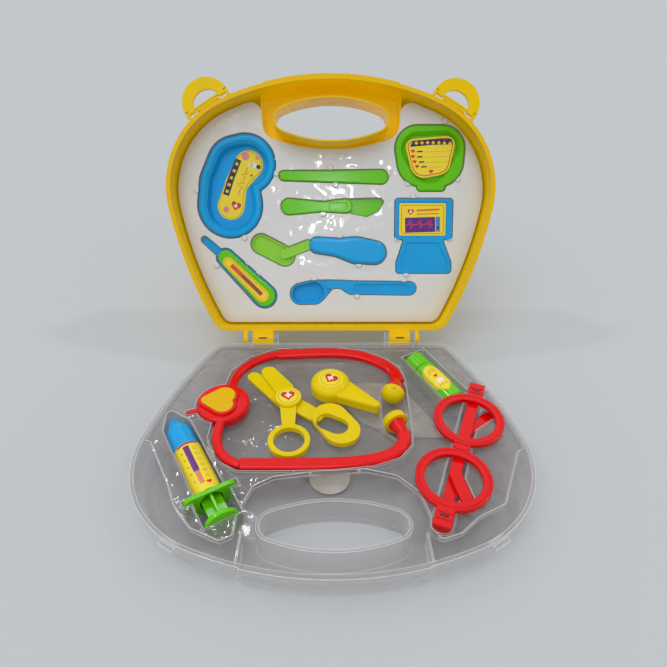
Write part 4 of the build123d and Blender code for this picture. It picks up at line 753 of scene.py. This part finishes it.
toy_red = moulded("toy_red", (232, 0, 8), roughness=0.1)
toy_yellow = moulded("toy_yellow", (234, 206, 0), shine=0.2)
dress(toy_red, "stethoscope_chestpiece", "upper_ear_tube", "lower_ear_tube")
dress(toy_yellow, "upper_ear_cup", "lower_ear_cup")
dress(moulded("heart_amber", (234, 184, 0), roughness=0.26, shine=0.2), "heart_button")
cup_low, cup_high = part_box("upper_ear_cup")  # in metres, and its middle in mm
cup_x = 500 * (cup_low[0] + cup_high[0])
cup_s = 1000 * hinge_back - 500 * (cup_low[1] + cup_high[1])
printed(
    "ear_cup_dot", toy_yellow, "stethoscope", over_base(above_rim(cup_high[2])),
    [ring(circle(cup_x, cup_s, 1.7, 24), circle(cup_x, cup_s, 1.1, 24))],
    coat=(-0.5, 0.15))


# Scissors: two flat yellow blades on a pivot, under a cap with a round sticker: a thin ring
# round a red heart with a white cross.
def upright(outline, x, s):
    """An outline about 0, 0 set down at x, s, with its top to the back of the base."""
    return outline * (1, -1) + (x, s)


def round_sticker(toy, x, s, turned):
    """The print of a toy's round sticker: ring, heart and cross."""
    sticker_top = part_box(toy + "_label")[1][2]
    sticker_print = printer(toy, toy, over_base(above_rim(sticker_top)))
    sticker_print("ring", ink_olive, [ring(circle(x, s, 7.3), circle(x, s, 6.95))])
    sticker_print("heart", ink_red, [filled(upright(heart(0, 0, 10.2, turned), x, s))])
    cross = filled(upright(plus(0, 0.7, 5.0, turned), x, s))
    sticker_print("cross", ink_white, [cross], over_coat)


dress(toy_yellow, "scissors_fixed_blade", "scissors_moving_blade", "scissors_cap")
dress(label_yellow, "scissors_label")
round_sticker("scissors", -32.0, 67.0, turned=8)


# Otoscope: a drum and a tapered nozzle moulded as one in yellow, with the same round sticker
# on top of the drum. It lies loose in the base tray.
dress(toy_yellow, "otoscope_body")
dress(label_yellow, "otoscope_label")
round_sticker("otoscope", -1.3, 54.0, turned=-30)


# Syringe: a blue barrel, a green grip pushed on its end and a green plunger that slides in it.
# The sticker half round the barrel has a red edge at the nozzle, a ladder of violet bars, small
# rings on one side and ticks on the other.
def round_barrel(start, aim, height, radius):
    """Places on a lying barrel: u along it from its end and v round it, both in mm; v over the
    radius is the angle from the top."""
    turn = math.radians(aim)
    run = np.array([math.cos(turn), -math.sin(turn), 0.0])
    side = np.array([math.sin(turn), math.cos(turn), 0.0])
    up = np.array([0, 0, 1.0])
    foot = np.array([start[0], 1000 * hinge_back - start[1], 1000 * rim_height + height])

    def place(spots, rise):
        u, v = spots[:, 0:1], spots[:, 1:2] / radius
        return (foot + u * run + (radius + rise) * (np.sin(v) * side + np.cos(v) * up)) / 1000
    return place


dress(moulded("syringe_blue", (22, 168, 234)), "syringe_barrel")
dress(toy_green, "syringe_grip", "syringe_plunger")
dress(label_yellow, "syringe_label")
barrel_face = round_barrel((-113.0, 83.0), aim=60.5, height=-7.3, radius=9.1)
printed(
    "syringe_label_end", label_yellow, "syringe", barrel_face,
    [bar((72.9, -13.6), (72.9, 13.6), 2.2, 48)], coat=(-0.28, 0.0))
syringe_print = printer("syringe", "syringe", barrel_face)
syringe_print("edge", ink_red, [bar((33.3, -7.5), (33.3, 7.5), 1.5, 20)])
syringe_print("strip", ink("ink_purple", (148, 62, 158)), [
    bar((46.5, -3.6), (46.5, 0.4), 22.6, 12)])
ladder_step, ladder_count, dash_count = 1.75, 13, 6
ladder = [36.2 + ladder_step * k for k in range(ladder_count)]
dashes = [58.8 + ladder_step * k for k in range(dash_count)]
syringe_print("ladder", ink("ink_violet", (72, 18, 104)), [
    bar((u, -3.6), (u, 0.2), 1.05, 5) for u in ladder], bars_coat)
syringe_print("dashes", ink("ink_magenta", (206, 58, 120)), [
    bar((u, -3.2), (u, 0.0), 1.1, 5) for u in dashes])
syringe_print("rings", ink_olive, [
    ring(circle(u, 3.4, 1.25, 20), circle(u, 3.4, 1.0, 20)) for u in 39.0 + 5.0 * np.arange(6)])
syringe_print("ticks", ink_black, [
    bar((u, -6.4), (u, -5.2), 0.6, 3) for u in 39.5 + 6.2 * np.arange(5)])
syringe_print("heart", ink_red, [filled(heart(69.0, 2.6, 3.4, 90))])


# Medicine bottle: one green moulding that lies on its side in the base tray. A shield-shaped
# sticker is wrapped on it, with a thin line round its border, two arcs, a capsule and a heart.
label_start, label_end, label_middle, label_half = 18.6, 46.6, -1.8, 8.2
label_round, label_point, point_curve = 9.0, 8.5, 1.6  # the lengths of its ends, and the arch


def shield_half(u):
    """Half the width of the sticker at u: a quarter ellipse, a straight run, then an arch to a
    point."""
    rounded = np.clip((u - label_start) / label_round, 0, 1)
    pointed = np.clip((u - label_end + label_point) / label_point, 0, 1)
    return label_half * np.sqrt(1 - (1 - rounded) ** 2) * (1 - pointed ** point_curve)


def wrapped(name, colour, body, place, low, high):
    """The sticker wrapped on its barrel: rows across it run from one side of the outline to the
    other, on its under and upper faces, and walls close its border."""
    u = label_start + (label_end - label_start) * (1 - np.cos(np.linspace(0, np.pi, 48))) / 2
    side = np.linspace(-1, 1, 15)
    v = label_middle + side[None] * shield_half(u)[:, None]
    spots = np.stack([np.repeat(u[:, None], len(side), 1), v], 2).reshape(-1, 2)
    count = len(spots)
    index = np.arange(count).reshape(v.shape)
    quads = np.stack(
        [index[:-1, :-1], index[1:, :-1], index[1:, 1:], index[:-1, 1:]], 2).reshape(-1, 4)
    rim = np.concatenate([index[0], index[1:, -1], index[-1, -2::-1], index[-2:0:-1, 0]])
    next_rim = np.roll(rim, -1)
    walls = np.stack([rim, next_rim, next_rim + count, rim + count], 1)
    piece = closed_piece(
        name, colour, body, [place(spots, low), place(spots, high)],
        [quads, quads + count, walls])
    crisp(piece.data)
    return piece


dress(toy_green, "medicine_bottle")
bottle_face = round_barrel((65.0, 18.2), aim=61.4, height=-9.0, radius=9.8)
bottle_sticker = wrapped("bottle_sticker", label_yellow, "bottle", bottle_face, -0.32, 0.0)
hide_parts("bottle_label")
bottle_print = printer("bottle", "bottle", bottle_face)
line_u = np.linspace(label_start + 1.2, label_end - 3.0, 60)
line_half = np.maximum(shield_half(line_u) - 1.3, 0.0)
line_up = np.stack([line_u, label_middle + line_half], 1)
line_back = np.stack([line_u, label_middle - line_half], 1)[::-1]
bottle_print("line", ink_olive, [stroke(line_up, 0.35), stroke(line_back, 0.35)])
arc_turn, arc_radius = np.linspace(-0.9, 0.9, 14), 4.6
arc = arc_radius * np.stack([-np.cos(arc_turn), np.sin(arc_turn)], 1)
bottle_print("arcs", ink_orange, [
    stroke(arc + (28.0, label_middle), 0.6), stroke(arc + (30.2, label_middle), 0.5)])
bottle_print("heart", ink_red, [filled(heart(30.6, label_middle, 3.4, 90))])
bottle_print("capsule", ink_white, [
    bar((36.0, label_middle - 2.6), (36.0, label_middle + 2.6), 3.4, 8)], bars_coat)
bottle_print("spots", ink_black, [
    filled(circle(40.2, label_middle + shift, 0.45, 12)) for shift in (-3.0, -1.0, 1.0, 3.0)])


# Glasses: a one-piece frame without lenses, moulded in red with a raised line round each lens
# opening, ribs at its tabs and slots in the end ones, whose shade is painted as thin dark red
# bars.
# Two temples are snapped into the tabs.
glasses_centre, glasses_turn = np.array([84.3, 116.5]), math.radians(111.1)
lens_spread, tab_spread, rib_spread = 26.6, 55.6, 2.4
line_outer, line_inner = 22.3, 21.7
glasses_run = np.array([math.cos(glasses_turn), math.sin(glasses_turn)])
glasses_side = np.array([-glasses_run[1], glasses_run[0]])


def along_glasses(*distances):
    """Places on the middle line of the glasses, at distances in mm from their bridge."""
    return [glasses_centre + glasses_run * distance for distance in distances]


def crossbars(spots, half, width):
    """Bars square to the middle line, which reach half a length to both sides of it."""
    reach = glasses_side * half
    return [bar(spot - reach, spot + reach, width) for spot in spots]


frame_red = moulded("frame_red", (232, 0, 8), roughness=0.14, ease=0.0011)
dress(frame_red, "glasses_frame", "upper_temple", "lower_temple")
frame_top = over_base(above_rim(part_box("glasses_frame")[1][2]))
printed(
    "glasses_lines", frame_red, "glasses", frame_top,
    [ring(circle(*spot, line_outer, 72), circle(*spot, line_inner, 72))
     for spot in along_glasses(-lens_spread, lens_spread)], coat=(-0.1, 0.25))
# Painted shade: thin dark red bars where the end tabs' slots are.
printed(
    "glasses_slot_shade", ink("glasses_slot_shade_ink", (120, 4, 10)), "glasses", frame_top,
    crossbars(along_glasses(-tab_spread, tab_spread), half=2.6, width=2.4),
    coat=(-0.1, 0.04))
rib_spots = along_glasses(*(
    tab + shift for tab in (-tab_spread, 0.0, tab_spread) for shift in (-rib_spread, rib_spread)))
printed(
    "glasses_ribs", frame_red, "glasses", frame_top, crossbars(rib_spots, half=4.6, width=0.9),
    coat=(-0.1, 0.5))
